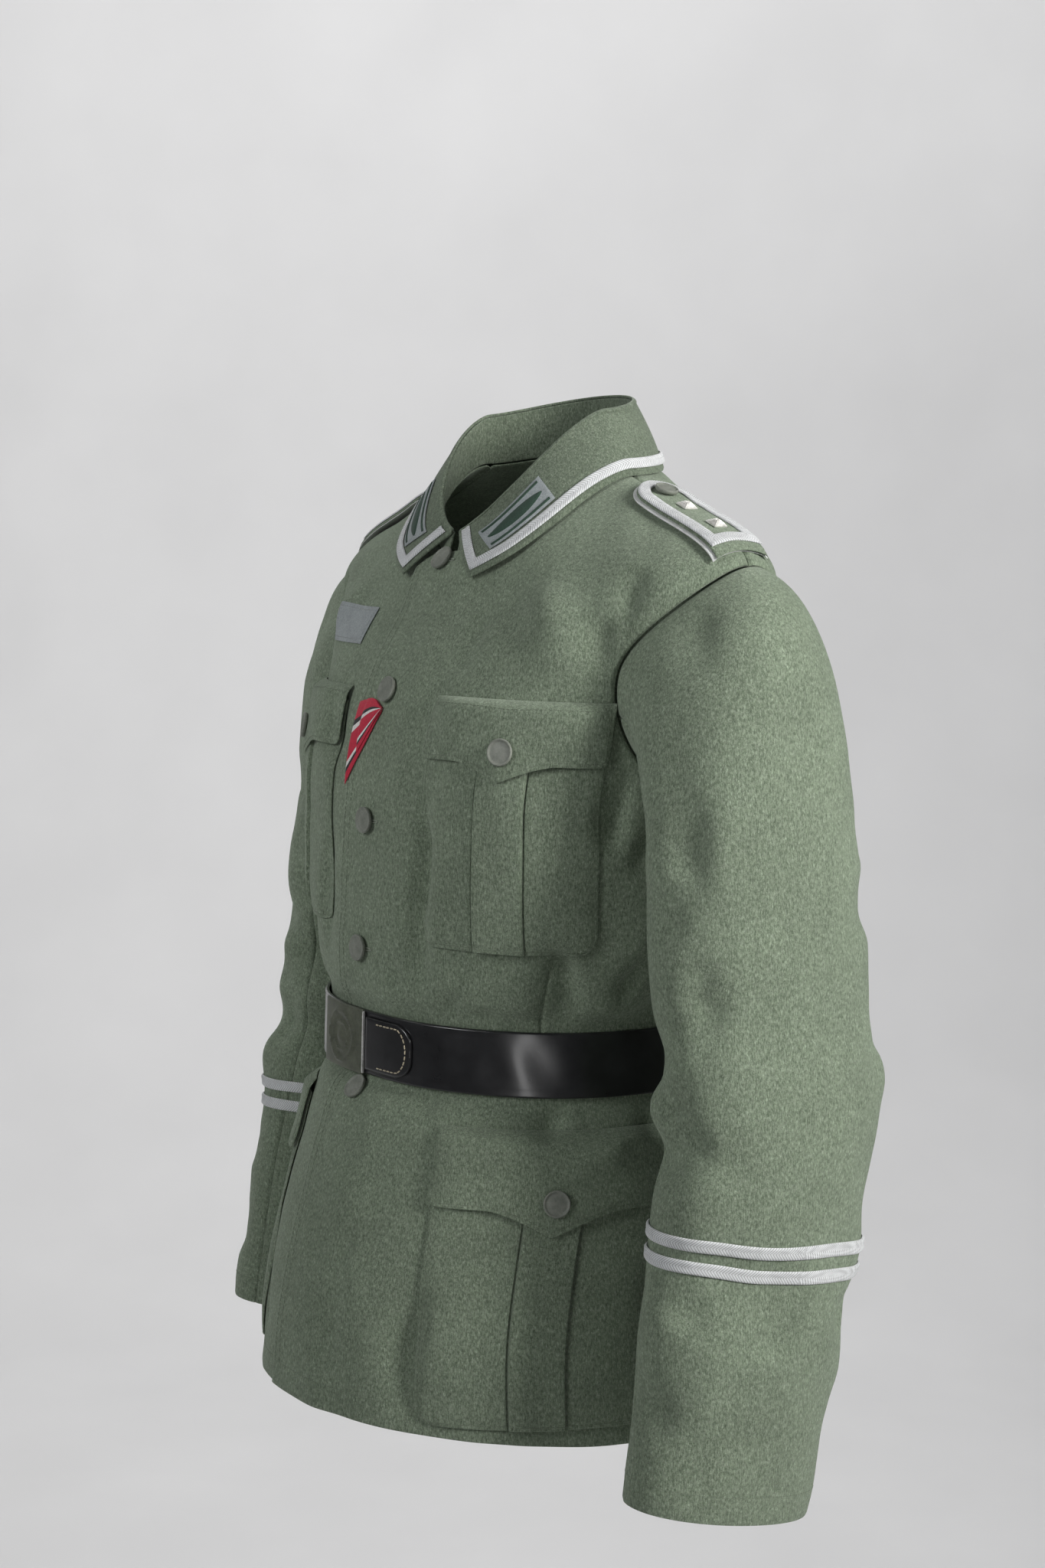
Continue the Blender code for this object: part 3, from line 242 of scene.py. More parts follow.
# Creases of the torso's cloth, in metres: a soft trough or ridge from one place to another,
# bowed to one side, with its own width on each side and its own depth
TORSO_CREASES = (
    ("name", "turn_a", "level_a", "turn_b", "level_b", "bow", "left", "right", "depth"),
    ("shoulder_trough", 60.0, 11.30, 59.5, 10.15, 0.004, 0.008, 0.015, -0.0045),
    ("shoulder_trough_ridge", 54.5, 11.25, 54.0, 10.35, 0.003, 0.009, 0.010, 0.0020),
    ("inner_trough", 49.0, 10.85, 59.0, 9.90, 0.005, 0.007, 0.012, -0.0032),
    ("chest_ridge", 30.0, 11.50, 47.0, 10.10, -0.006, 0.014, 0.018, 0.0030),
    ("collar_fold", 18.5, 11.00, 18.0, 10.00, 0.002, 0.007, 0.011, -0.0028),
    ("chest_pinch", 70.5, 9.30, 66.5, 7.90, 0.004, 0.006, 0.011, -0.0048),
    ("chest_pinch_back", 78.0, 8.80, 72.0, 7.60, -0.003, 0.008, 0.009, -0.0026),
    ("placket_upper", 14.5, 8.60, 17.0, 7.05, -0.003, 0.006, 0.009, -0.0030),
    ("placket_lower", 17.0, 7.20, 21.0, 5.60, 0.003, 0.006, 0.010, -0.0036),
    ("pocket_valley", 17.0, 9.10, 15.5, 6.00, 0.002, 0.011, 0.006, -0.0056),
    ("front_pull", 7.0, 6.60, 17.0, 5.90, 0.003, 0.007, 0.009, -0.0018),
    ("dart_side", 52.5, 7.00, 63.5, 5.10, -0.006, 0.006, 0.013, -0.0058),
    ("dart_side_ridge", 47.0, 6.60, 52.0, 5.30, 0.003, 0.008, 0.010, 0.0022),
    ("side_diagonal", 81.0, 6.90, 74.0, 5.80, 0.003, 0.006, 0.010, -0.0044),
    ("side_gather", 88.0, 6.30, 84.0, 5.15, -0.002, 0.006, 0.008, -0.0034),
    ("waist_pull", 31.0, 6.10, 27.0, 5.10, 0.003, 0.006, 0.008, -0.0024),
    ("waist_short", 39.0, 5.90, 38.0, 5.05, -0.002, 0.005, 0.007, -0.0020),
    ("under_belt_side", 63.5, 3.95, 56.0, 2.75, 0.004, 0.006, 0.011, -0.0036),
    ("under_belt_front", 24.0, 3.90, 22.0, 3.00, 0.002, 0.006, 0.008, -0.0020),
    ("under_belt_back", 84.0, 3.95, 88.0, 2.40, 0.004, 0.007, 0.011, -0.0040),
    ("hip_ridge", 59.0, 2.62, 79.0, 2.85, 0.003, 0.007, 0.010, 0.0030),
    ("skirt_shade", 31.5, 1.75, 26.0, 0.00, 0.004, 0.009, 0.014, -0.0036),
    ("skirt_side", 82.0, 1.90, 86.0, 0.00, -0.004, 0.010, 0.015, -0.0050),
    ("skirt_front", 9.0, 2.20, 8.5, 0.20, 0.003, 0.008, 0.012, -0.0022),
    ("right_chest", -18.5, 10.00, -14.5, 8.80, 0.003, 0.008, 0.012, -0.0028),
    ("right_shoulder", -59.0, 11.20, -61.0, 10.20, -0.004, 0.012, 0.008, -0.0042),
    ("right_inner", -46.0, 10.90, -57.0, 10.00, -0.004, 0.011, 0.007, -0.0030),
    ("right_ridge", -30.0, 11.30, -44.0, 10.20, 0.005, 0.015, 0.013, 0.0026),
    ("right_pinch", -71.0, 9.10, -66.0, 7.80, -0.004, 0.010, 0.006, -0.0046),
    ("right_placket", -15.0, 8.20, -21.0, 5.90, 0.003, 0.009, 0.006, -0.0030),
    ("right_dart_side", -50.0, 6.90, -62.0, 5.10, 0.005, 0.012, 0.006, -0.0050),
    ("right_side_pull", -83.0, 6.80, -77.0, 5.50, -0.003, 0.009, 0.006, -0.0042),
    ("right_waist", -33.0, 6.20, -29.0, 5.10, -0.002, 0.007, 0.006, -0.0026),
    ("right_under_belt", -61.0, 3.95, -54.0, 2.80, -0.004, 0.010, 0.006, -0.0034),
    ("right_under_side", -86.0, 3.95, -90.0, 2.30, -0.004, 0.011, 0.007, -0.0042),
    ("right_skirt", -29.0, 1.70, -24.0, 0.00, -0.003, 0.013, 0.009, -0.0034),
    ("right_skirt_side", -80.0, 1.80, -85.0, 0.00, 0.004, 0.013, 0.010, -0.0048),
    ("back_left_blade", 122.0, 10.70, 117.0, 8.90, 0.006, 0.009, 0.014, -0.0046),
    ("back_left_sweep", 138.0, 10.20, 112.0, 8.70, -0.008, 0.010, 0.013, -0.0036),
    ("back_left_pull", 108.0, 8.20, 121.0, 6.90, 0.005, 0.009, 0.012, -0.0040),
    ("back_left_waist", 118.0, 6.70, 124.0, 5.10, 0.004, 0.007, 0.011, -0.0052),
    ("back_left_gather", 136.0, 6.30, 133.0, 5.05, -0.003, 0.006, 0.010, -0.0044),
    ("back_left_short", 152.0, 6.10, 154.0, 5.05, 0.002, 0.006, 0.009, -0.0036),
    ("back_left_roll", 128.0, 6.90, 158.0, 6.70, -0.006, 0.009, 0.012, 0.0034),
    ("back_centre_gather", 168.0, 6.40, 170.0, 5.05, -0.002, 0.007, 0.009, -0.0040),
    ("back_left_skirt", 120.0, 3.95, 117.0, 1.20, 0.004, 0.008, 0.013, -0.0046),
    ("back_left_skirt_in", 146.0, 3.95, 143.0, 1.60, -0.003, 0.008, 0.012, -0.0040),
    ("back_centre_skirt", 166.0, 3.95, 168.0, 2.00, 0.002, 0.007, 0.011, -0.0032),
    ("back_right_blade", 239.0, 10.60, 245.0, 8.80, -0.006, 0.014, 0.009, -0.0044),
    ("back_right_sweep", 219.0, 10.00, 247.0, 8.90, 0.008, 0.013, 0.010, -0.0034),
    ("back_right_pull", 251.0, 8.30, 238.0, 7.00, -0.005, 0.012, 0.008, -0.0042),
    ("back_right_waist", 243.0, 6.50, 238.0, 5.10, -0.004, 0.011, 0.007, -0.0050),
    ("back_right_gather", 224.0, 6.40, 228.0, 5.05, 0.003, 0.010, 0.006, -0.0042),
    ("back_right_short", 206.0, 6.00, 204.0, 5.05, -0.002, 0.009, 0.006, -0.0036),
    ("back_right_roll", 232.0, 6.80, 202.0, 6.60, 0.006, 0.012, 0.009, 0.0034),
    ("back_near_gather", 191.0, 6.30, 189.0, 5.05, 0.002, 0.008, 0.007, -0.0036),
    ("back_right_skirt", 241.0, 3.95, 244.0, 1.30, -0.004, 0.013, 0.008, -0.0044),
    ("back_right_skirt_in", 217.0, 3.95, 221.0, 1.50, 0.003, 0.012, 0.008, -0.0038),
    ("back_near_skirt", 194.0, 3.95, 192.0, 1.90, -0.002, 0.010, 0.008, -0.0030),
    ("yoke_left", 150.0, 12.20, 120.0, 11.30, -0.005, 0.010, 0.012, -0.0024),
    ("yoke_right", 212.0, 12.10, 240.0, 11.20, 0.005, 0.012, 0.010, -0.0024),
)

# Creases of each sleeve, placed by the turn round the arm and the row along it
LEFT_SLEEVE_CREASES = (
    ("name", "turn_a", "level_a", "turn_b", "level_b", "bow", "left", "right", "depth"),
    ("head_front", 41.0, 0.05, 51.0, 0.42, 0.003, 0.011, 0.017, -0.0031),
    ("head_soft", 4.0, 0.42, -5.0, 0.95, 0.004, 0.018, 0.021, -0.0022),
    ("head_back", -46.0, 0.10, -58.0, 0.70, -0.004, 0.017, 0.012, -0.0033),
    ("upper_front", 57.0, 0.70, 60.0, 1.60, 0.005, 0.011, 0.018, -0.0034),
    ("upper_front_ridge", 44.0, 0.80, 47.0, 1.50, 0.004, 0.014, 0.014, 0.0019),
    ("upper_inner", 88.0, 1.00, 80.0, 1.90, -0.004, 0.011, 0.015, -0.0030),
    ("upper_back", -59.0, 1.05, -62.0, 1.85, 0.004, 0.015, 0.018, -0.0033),
    ("elbow_front_high", 40.0, 1.92, 98.0, 2.60, -0.008, 0.011, 0.015, -0.0041),
    ("elbow_front_short", 50.0, 1.80, 66.0, 2.30, 0.004, 0.007, 0.012, -0.0022),
    ("elbow_front_roll", 58.0, 2.34, 110.0, 2.86, -0.006, 0.011, 0.014, 0.0029),
    ("elbow_front_mid", 66.0, 2.66, 118.0, 3.06, -0.005, 0.011, 0.013, -0.0037),
    ("elbow_front_low", 52.0, 3.18, 104.0, 3.28, 0.006, 0.011, 0.017, -0.0033),
    ("elbow_back_high", -60.0, 2.20, -96.0, 2.55, 0.006, 0.013, 0.012, -0.0030),
    ("elbow_back_bulge", -60.0, 2.50, -92.0, 2.90, 0.003, 0.020, 0.018, 0.0032),
    ("elbow_back_low", -58.0, 3.10, -100.0, 3.35, -0.005, 0.012, 0.015, -0.0031),
    ("outer_long", 16.0, 1.60, 22.0, 3.00, 0.006, 0.021, 0.027, -0.0019),
    ("forearm_front", 14.0, 4.30, 5.0, 4.80, -0.004, 0.015, 0.019, -0.0024),
    ("forearm_soft", 48.0, 4.28, 63.0, 4.72, 0.003, 0.013, 0.018, -0.0025),
    ("forearm_roll", 36.0, 3.45, 84.0, 3.66, 0.005, 0.014, 0.017, 0.0022),
    ("forearm_notch", -36.0, 4.32, -66.0, 4.52, 0.003, 0.011, 0.012, -0.0033),
    ("forearm_back", -56.0, 4.62, -90.0, 4.95, 0.003, 0.014, 0.017, 0.0024),
    ("under_ring", -10.0, 4.28, 30.0, 4.24, 0.002, 0.009, 0.015, -0.0015),
    ("inner_elbow", 150.0, 2.30, 118.0, 2.90, 0.006, 0.012, 0.015, -0.0037),
    ("inner_elbow_low", 156.0, 3.00, 120.0, 3.40, 0.004, 0.012, 0.015, -0.0034),
    ("inner_upper", 170.0, 1.20, 160.0, 2.00, 0.004, 0.015, 0.015, -0.0027),
    ("cuff_front", 66.0, 5.05, 78.0, 5.60, 0.003, 0.013, 0.017, -0.0021),
    ("cuff_back", -70.0, 5.15, -84.0, 5.75, -0.003, 0.015, 0.013, -0.0019),
)
RIGHT_SLEEVE_CREASES = (
    ("name", "turn_a", "level_a", "turn_b", "level_b", "bow", "left", "right", "depth"),
    ("head_front", 47.0, 0.08, 56.0, 0.55, -0.003, 0.012, 0.017, -0.0030),
    ("head_soft", -2.0, 0.46, -12.0, 0.98, 0.004, 0.019, 0.019, -0.0022),
    ("head_back", -40.0, 0.12, -55.0, 0.80, 0.004, 0.013, 0.017, -0.0033),
    ("upper_front", 62.0, 0.80, 68.0, 1.70, 0.005, 0.012, 0.018, -0.0031),
    ("upper_inner", 96.0, 1.05, 90.0, 2.00, -0.004, 0.012, 0.015, -0.0031),
    ("upper_back", -54.0, 1.00, -64.0, 1.95, 0.004, 0.017, 0.015, -0.0030),
    ("elbow_front_high", 48.0, 2.02, 104.0, 2.55, -0.007, 0.012, 0.015, -0.0037),
    ("elbow_front_roll", 60.0, 2.38, 112.0, 2.80, -0.006, 0.013, 0.014, 0.0027),
    ("elbow_front_mid", 70.0, 2.74, 120.0, 3.10, -0.005, 0.011, 0.015, -0.0034),
    ("elbow_front_low", 56.0, 3.24, 106.0, 3.40, 0.006, 0.012, 0.017, -0.0034),
    ("elbow_back_high", -58.0, 2.30, -94.0, 2.60, -0.005, 0.012, 0.013, -0.0028),
    ("elbow_back_bulge", -62.0, 2.62, -94.0, 2.95, 0.004, 0.018, 0.018, 0.0032),
    ("elbow_back_low", -56.0, 3.16, -96.0, 3.44, 0.005, 0.015, 0.012, -0.0033),
    ("outer_long", 12.0, 1.50, 24.0, 2.80, -0.006, 0.024, 0.022, -0.0019),
    ("forearm_front", 18.0, 4.36, 8.0, 4.86, 0.004, 0.018, 0.017, -0.0025),
    ("forearm_soft", 52.0, 4.40, 66.0, 4.84, -0.003, 0.015, 0.017, -0.0024),
    ("forearm_roll", 40.0, 3.52, 86.0, 3.62, -0.005, 0.015, 0.015, 0.0022),
    ("forearm_notch", -40.0, 4.42, -70.0, 4.60, 0.003, 0.012, 0.012, -0.0030),
    ("inner_elbow", 148.0, 2.36, 116.0, 2.80, -0.006, 0.013, 0.015, -0.0036),
    ("inner_elbow_low", 152.0, 3.06, 122.0, 3.48, 0.004, 0.012, 0.017, -0.0033),
    ("cuff_front", 60.0, 5.10, 74.0, 5.66, -0.003, 0.015, 0.015, -0.0021),
    ("cuff_back", -66.0, 5.05, -80.0, 5.60, 0.003, 0.013, 0.015, -0.0019),
)
CREASE_END = 0.42
CREASE_WIDENS = 0.35
CREASE_STRENGTH = 1.7
CREASE_REACH = 0.060
CREASE_UNEVEN = 0.22
RIPPLES = (
    ("name", "along_x", "along_y", "along_z", "height"),
    ("broad", 46.0, 31.0, 22.0, 0.00050),
    ("slanted", -38.0, 52.0, 41.0, 0.00040),
    ("upright", 83.0, 71.0, 14.0, 0.00030),
    ("level", 23.0, -33.0, 92.0, 0.00026),
    ("fine", 131.0, -117.0, 64.0, 0.00012),
)


# Fineness of the shown pieces, in metres
PANEL_STEP = 0.0040
EDGE_STEPS = (0.0006, 0.0010, 0.0014, 0.0020)
FINE_EDGE = EDGE_STEPS[:3]
HOLE_ROWS = 54
SHARP_ANGLE = math.radians(50)
RIM_SOFTNESS = 0.55
SHOULDER_RUN = 0.165
FRONT_TO_DART = 0.190
DART_TO_SIDE = 0.150
BACK_ACROSS = 0.300
SLEEVE_HEAD_RUN = 0.110
SLEEVE_LOWER_RUN = 0.460
UPPER_AROUND = 0.270
UNDER_AROUND = 0.150

# Seams, and the dart between the left pockets
SEAM_ROLL = 0.0016
BACK_SEAM_ROLL = 0.0011
SLEEVE_ROLL = 0.0009
SEAM_ROLL_WIDTH = 0.0019
FRONT_EDGE_ROLL = 0.0013
DART_ACROSS = 0.153
DART_MIDDLE_Z = -0.400
DART_HIGH = 7.35
DART_DEPTH = 0.0016
DART_WIDTH = 0.0013
DART_FADE = 0.5
DART_STEPS = (0.0007, 0.0009, 0.0014)

# Woven braid
RING_COLUMNS = 460
RING_WAVE = 0.0006
BRAID_ROWS = 9
BRAID_SIT = 0.0006
BRAID_PITCH = 0.0021
BRAID_SLANT = 0.9
BRAID_SPINE = 0.0006
BRAID_BORDER = 0.0012
BRAID_RELIEF = 0.0007
BRAID_EDGE_DROP = 0.0004
BRAID_STEP = 0.0008
BRAID_TURNS = (22.0, 26.0, 30.0, 35.0, 40.0, 46.0, 52.0, 65.0, 78.0, 92.0, 110.0, 128.0, 146.0, 163.0,
               180.0)
BRAID_END_SHARES = (0.02, 0.15, 0.30, 0.45, 0.58)

# Collar
STAND_HEIGHT = 0.036
FALL_HEIGHT = 0.062
ROLL_ROWS = 6
FALL_WAVE = 0.0006
COLLAR_EDGE_ROLL = 0.0008
COLLAR_EDGE_WIDTH = 0.0012
BAR_RISE = 0.0007
BAR_SINK = 0.0004
BAR_COLUMNS = 40
COLLAR_BARS = (
    ("low", "high", "first", "last", "swell"),
    (0.08, 0.17, 0.05, 0.95, 0.0),
    (0.30, 0.70, 0.08, 0.92, 0.96),
    (0.83, 0.92, 0.05, 0.95, 0.0),
)

# Pockets and flaps
POCKET_STEP = 0.0030
POCKET_SIT = 0.0006
POCKET_CORNER = 0.016
POCKET_ROLL = 0.0007
FLAP_STAND = 0.0010
POCKET_STITCH = 0.0030
STITCH_SINK = 0.0007
STITCH_SINK_WIDTH = 0.0012
PLEAT_EDGE = 0.016
PLEAT_LIFT = 0.0026
PLEAT_DIP = 0.0026
FLAP_CORNER_START = 0.90
FLAP_CORNER = 0.006
FLAP_TOP_ROLL = 0.0011
FLAP_TOP_STITCH = 0.0055
FLAP_CURL = 0.0008
FLAP_CURL_REACH = 0.02
FLAP_CLEARANCE = 0.0003
FLAP_RISE_SHARE = 0.14
POCKET_FULL_HEIGHT = 0.03
POCKET_LEAST_WALL = 0.0008

# Belt and buckle
BELT_FINE = 420
TAB_STITCH_START = 0.020
BELT_STEP = 0.0022
BELT_EDGE_STEPS = (0.0003, 0.0005, 0.0008)
BELT_LINE = 0.0032
BELT_LINE_WIDTH = 0.0006
BELT_LINE_DEPTH = 0.0006
BELT_BEVEL = 0.0009
BELT_BEND = 0.0007
BEVEL_WIDTH = 0.0012
PLATE_STEP = 0.0016
PLATE_EDGE_STEPS = (0.0003, 0.0005)
PLATE_BEVEL = 0.0007
TAB_ROUND_END = 0.016
TAB_TIP_SHARE = 0.30
BARE_EDGE_ACROSS = (-0.0004, 0.0004, 0.0012)
BARE_EDGE_ROWS = 30
BARE_EDGE_RISE = 0.0002
ROUNDEL = (
    ("radius", "width", "rise"),
    (0.0188, 0.0011, 0.0019),
    (0.0166, 0.0008, 0.0013),
    (0.0108, 0.0009, 0.0018),
    (0.0000, 0.0052, 0.0021),
)
ROUNDEL_DOTS = 24
ROUNDEL_DOT_RADIUS = 0.0141
ROUNDEL_DOT_RISE = 0.0011
ROUNDEL_DOT_WIDTH = 0.0011

# Shoulder straps and what is sewn on them
STRAP_STATIONS = 26
STRAP_STEP = 0.0020
STRAP_EDGE_STEPS = (0.0003, 0.0006)
STRAP_ROUND_TO = 84.0
STRAP_BEVEL = 0.0005
STRAP_ON_UNDERLAY = 0.0004
STRAP_BRAID_LIFT = 0.0003
STRAP_BRAID_INSET = 0.0005
STRAP_SIDE_POINTS = 130
STRAP_TURN_POINTS = 91
STRAP_END_POINTS = 62
STRAP_STUD_LIFT = 0.0002

# Buttons, studs and threads
BUTTON_SEGMENTS = 56
BUTTON_PROFILE = (
    ("out", "high"),
    (0.0, 0.80),
    (0.25, 0.795),
    (0.50, 0.775),
    (0.66, 0.745),
    (0.74, 0.735),
    (0.79, 0.765),
    (0.84, 0.86),
    (0.89, 0.945),
    (0.93, 0.965),
    (0.965, 0.93),
    (0.99, 0.82),
    (1.0, 0.66),
    (0.99, 0.48),
    (0.95, 0.30),
    (0.86, 0.16),
    (0.60, 0.06),
    (0.0, 0.04),
)
STUD_GROOVE = 0.0004
STUD_GROOVE_ABOVE = 0.3
STUD_EDGE_POINTS = 6
STUD_PROFILE = (
    ("share", "high"),
    (1.0, 0.0),
    (1.0, 0.22),
    (0.92, 0.30),
    (0.74, 0.52),
    (0.70, 0.50),
    (0.52, 0.74),
    (0.48, 0.72),
    (0.30, 0.96),
    (0.18, 1.0),
)
THREAD_SIDES = 5
THREAD_RINGS = ((-1.0, 0.25), (-0.72, 0.90), (0.72, 0.90), (1.0, 0.25))
THREAD_UNEVEN = 0.0002
STITCH_LENGTH = 0.0026
STITCH_GAP = 0.0010
STITCH_RADIUS = 0.00028

# Breast patch
PATCH_STEP = 0.0030
PATCH_ROW_STEP = 0.0025
PATCH_ROLL = 0.0005

# Ribbon plies: share of the length that each one covers and how far it stands out
RIBBON_PLIES = (
    ("reach", "rise"),
    (1.00, 0.0),
    (0.62, 0.0013),
)
RIBBON_POINTS = 26
RIBBON_PUFF = 0.0016

# Sewn lines; STITCH_CELLS is how many grid cells in from an edge a patch or pocket is sewn
STITCH_CELLS = 3
LINE_POINTS = 400
CUFF_POINTS = 300
TAB_POINTS = 60
TAB_SEWN_INSET = 0.0045
TAB_SEWN_MARGIN = 0.0035
TAB_SEWN_BEND = 0.010
TAB_STITCH = {"length": 0.0032, "gap": 0.0009, "radius": 0.00060}
BUTTONHOLE_STITCH = {"length": 0.0009, "gap": 0.00012, "radius": 0.00045}
HEM_STITCH_LEVEL = 0.27
FRONT_STITCH_INSETS = (0.006, 0.013)
BACK_STITCH_TURN = 1.2
CUFF_STITCH_ALONG = 5.79
BUTTONHOLE_HALF = 0.0085
BUTTONHOLE_ACROSS = 0.0065
BUTTONHOLE_WIDE = 0.0009
BUTTONHOLE_ABOVE = 0.0135
HIDDEN_BUTTONHOLES = (1, 4)

# Colours: dark, middle and light fibres of the wool, and the ribbon's stripes up its width
WOOL = ((0.088, 0.116, 0.076), (0.182, 0.226, 0.160), (0.310, 0.362, 0.280))
COLLAR_SHADE = 0.74
PLAIN_CLOTHS = (
    ("name", "colour", "scale", "spread"),
    ("patch", (0.30, 0.33, 0.335), 900.0, 0.28),
    ("bar", (0.030, 0.060, 0.042), 1200.0, 0.30),
    ("piping", (0.66, 0.67, 0.66), 1100.0, 0.16),
    ("thread", (0.150, 0.182, 0.130), 1500.0, 0.20),
    ("buttonhole", (0.33, 0.37, 0.30), 1500.0, 0.20),
    ("pale_thread", (0.26, 0.28, 0.27), 1500.0, 0.20),
    ("cream_thread", (0.52, 0.46, 0.33), 1500.0, 0.20),
)
PAINTS = (
    ("name", "dark", "light", "smoothest", "roughest"),
    ("button", (0.170, 0.182, 0.155), (0.270, 0.285, 0.245), 0.42, 0.62),
    ("buckle", (0.068, 0.076, 0.055), (0.125, 0.136, 0.100), 0.36, 0.56),
    ("bare", (0.42, 0.42, 0.40), (0.74, 0.74, 0.72), 0.25, 0.40),
)
PIP_METAL = ((0.62, 0.61, 0.57), (0.90, 0.89, 0.85), 0.40, 0.60)
RIBBON_RED = (0.560, 0.012, 0.045)
RIBBON_PALE = (0.800, 0.790, 0.760)
RIBBON_DARK = (0.020, 0.020, 0.022)
RIBBON_STRIPES = (
    (0.00, RIBBON_RED),
    (0.12, RIBBON_DARK),
    (0.18, RIBBON_PALE),
    (0.25, RIBBON_RED),
    (0.60, RIBBON_PALE),
    (0.68, RIBBON_DARK),
    (0.76, RIBBON_RED),
)

# The camera that was fitted to the photograph, and the setting
CAMERA_PLACE = (1.57033419, -1.11821562, -0.04168972)
CAMERA_AZIMUTH = 55.0018
CAMERA_PITCH = 6.0012
CAMERA_ROLL = 0.5014
CAMERA_LENS = 58.0078
SENSOR_WIDTH = 36.0
BACKDROP_NEAR = -5.0
BACKDROP_HEIGHT = 6.0
BACKDROP_HALF_WIDTH = 7.0
FLOOR_Z = -1.42
BACKDROP_REACH = 3.6
BACKDROP_BEND = 1.6

# Lights, placed from the middle of the tunic: to the camera's right, nearer to it, and up.
# Each one points at a place nearer to the camera than the middle by aim and higher by aim_high;
# size is in metres, spread in degrees and watts is its power.
LIGHTS = (
    ("name", "sideways", "nearer", "higher", "aim", "aim_high", "size", "spread", "watts", "colour"),
    ("key", 2.3, 1.7, 1.2, 0.0, 0.30, (0.9, 1.3), 70.0, 18.5, (1.0, 0.99, 0.975)),
    ("fill", -2.0, 1.5, 1.2, 0.0, 0.40, (0.9, 1.3), 60.0, 3.6, (0.98, 0.99, 1.0)),
    ("above", 0.4, 0.2, 2.4, 0.0, 0.0, (1.6, 1.6), 180.0, 2.0, (1.0, 0.99, 0.98)),
    ("belt_strip", -0.35, 2.35, -0.30, 0.0, 0.0, (0.30, 1.1), 180.0, 4.5, (1.0, 1.0, 1.0)),
    ("backdrop_wash", 0.0, -1.0, 2.2, -4.5, 0.0, (4.0, 1.6), 180.0, 92.0, (1.0, 0.995, 0.99)),
)
LIGHTS_MIDDLE = (0.0, 0.0, -0.32)
AIR_LIGHT = 0.07
AIR_COLOUR = (0.93, 0.96, 1.0, 1.0)
EXPOSURE = 0.0

# Tables and the surfaces they describe

COLUMN_CACHE = {}


def column(table, name):
    """All values of one named column of a table whose first row holds the names."""
    key = (id(table), name)
    if key not in COLUMN_CACHE:
        index = table[0].index(name)
        COLUMN_CACHE[key] = np.array([row[index] for row in table[1:]], float)
    return COLUMN_CACHE[key]


def smooth(table, name, row):
    """Catmull-Rom value of a column at a row number that may lie between rows."""
    data = column(table, name)
    row = np.clip(np.asarray(row, float), 0.0, len(data) - 1.0)
    low = np.minimum(row.astype(int), len(data) - 2)
    t = row - low
    start = data[low]
    end = data[low + 1]
    before = np.where(low == 0, 2 * start - end, data[np.maximum(low - 1, 0)])
    after = np.where(low == len(data) - 2, 2 * end - start, data[np.minimum(low + 2, len(data) - 1)])
    bend = 2 * before - 5 * start + 4 * end - after
    twist = 3 * (start - end) + after - before
    return start + 0.5 * t * (end - before + t * (bend + t * twist))


def by_turn(table, name, turn):
    """Value of a collar column at a turn between 0 and 360, alike on both sides."""
    half = np.where(np.asarray(turn, float) > 180.0, 360.0 - turn, turn)
    rows = np.interp(half, column(table, "turn"), np.arange(len(table) - 1))
    return smooth(table, name, rows)


def power(value, exponent):
    """A power that keeps the value's sign."""
    return np.sign(value) * np.abs(value) ** exponent


def unit(vectors):
    """Vectors of length 1 that point the same way."""
    return vectors / np.linalg.norm(vectors, axis=-1, keepdims=True)


def hump(distance, width):
    """1 where the distance is 0, falling away to about a third at this width."""
    return np.exp(-((distance / width) ** 2))


def side_name(side):
    """Name of the wearer's side: 1 is the left and -1 the right."""
    return "left" if side > 0 else "right"


def fold_height(folds, turn, level, level_name):
    """Sum of the soft folds at this turn and level."""
    total = np.zeros(np.broadcast(turn, level).shape)
    columns = (column(folds, name) for name in ("turn", level_name, "reach_turn", "lean", "depth"))
    reach_name = "reach_level" if level_name == "level" else "reach_along"
    for middle, peak, reach, lean, depth, rise in zip(*columns, column(folds, reach_name)):
        across = (turn - middle - lean * (level - peak) + 180.0) % 360.0 - 180.0
        total = total + depth * np.exp(-((across / reach) ** 2) - ((level - peak) / rise) ** 2)
    return total


def torso_base(turn, level):
    """The torso's surface without folds: a rounded-square section at each level."""
    turn, level = np.broadcast_arrays(np.asarray(turn, float), np.asarray(level, float))
    angle = np.radians(turn)
    sine, cosine = np.sin(angle), np.cos(angle)
    exponent = 2.0 / smooth(TORSO, "squareness", level)
    front = cosine > 0
    depth = np.where(front, smooth(TORSO, "front_depth", level), smooth(TORSO, "back_depth", level))
    from_front = (turn + 180.0) % 360.0 - 180.0
    prow = smooth(TORSO, "prow", level) * np.clip(1 - (from_front / PROW_TURN) ** 2, 0, 1) ** 2
    x = smooth(TORSO, "half_width", level) * power(sine, exponent)
    y = -depth * power(cosine, exponent) - prow
    side_z = smooth(TORSO, "side_z", level)
    end_z = np.where(front, smooth(TORSO, "front_z", level), smooth(TORSO, "back_z", level))
    z = side_z + (end_z - side_z) * np.abs(cosine) ** SIDE_SWEEP
    return np.stack([x, y, z], axis=-1)


def slope_normal(surface, first, second, first_step, second_step):
    """Outward normal of a surface of two numbers, from points on each side."""
    along = surface(first + first_step, second) - surface(first - first_step, second)
    up = surface(first, second + second_step) - surface(first, second - second_step)
    return unit(np.cross(along, up))


def torso(turn, level):
    """The torso's cloth with its folds, which die out under the belt."""
    turn, level = np.broadcast_arrays(np.asarray(turn, float), np.clip(level, HEM, NECK))
    belt = 1.0 - np.exp(-(((level - BELT_MIDDLE) / BELT_HOLD) ** 4))
    height = fold_height(TORSO_FOLDS, turn, level, "level") * belt
    return torso_base(turn, level) + slope_normal(torso_base, turn, level, *NORMAL_STEPS) * height[..., None]


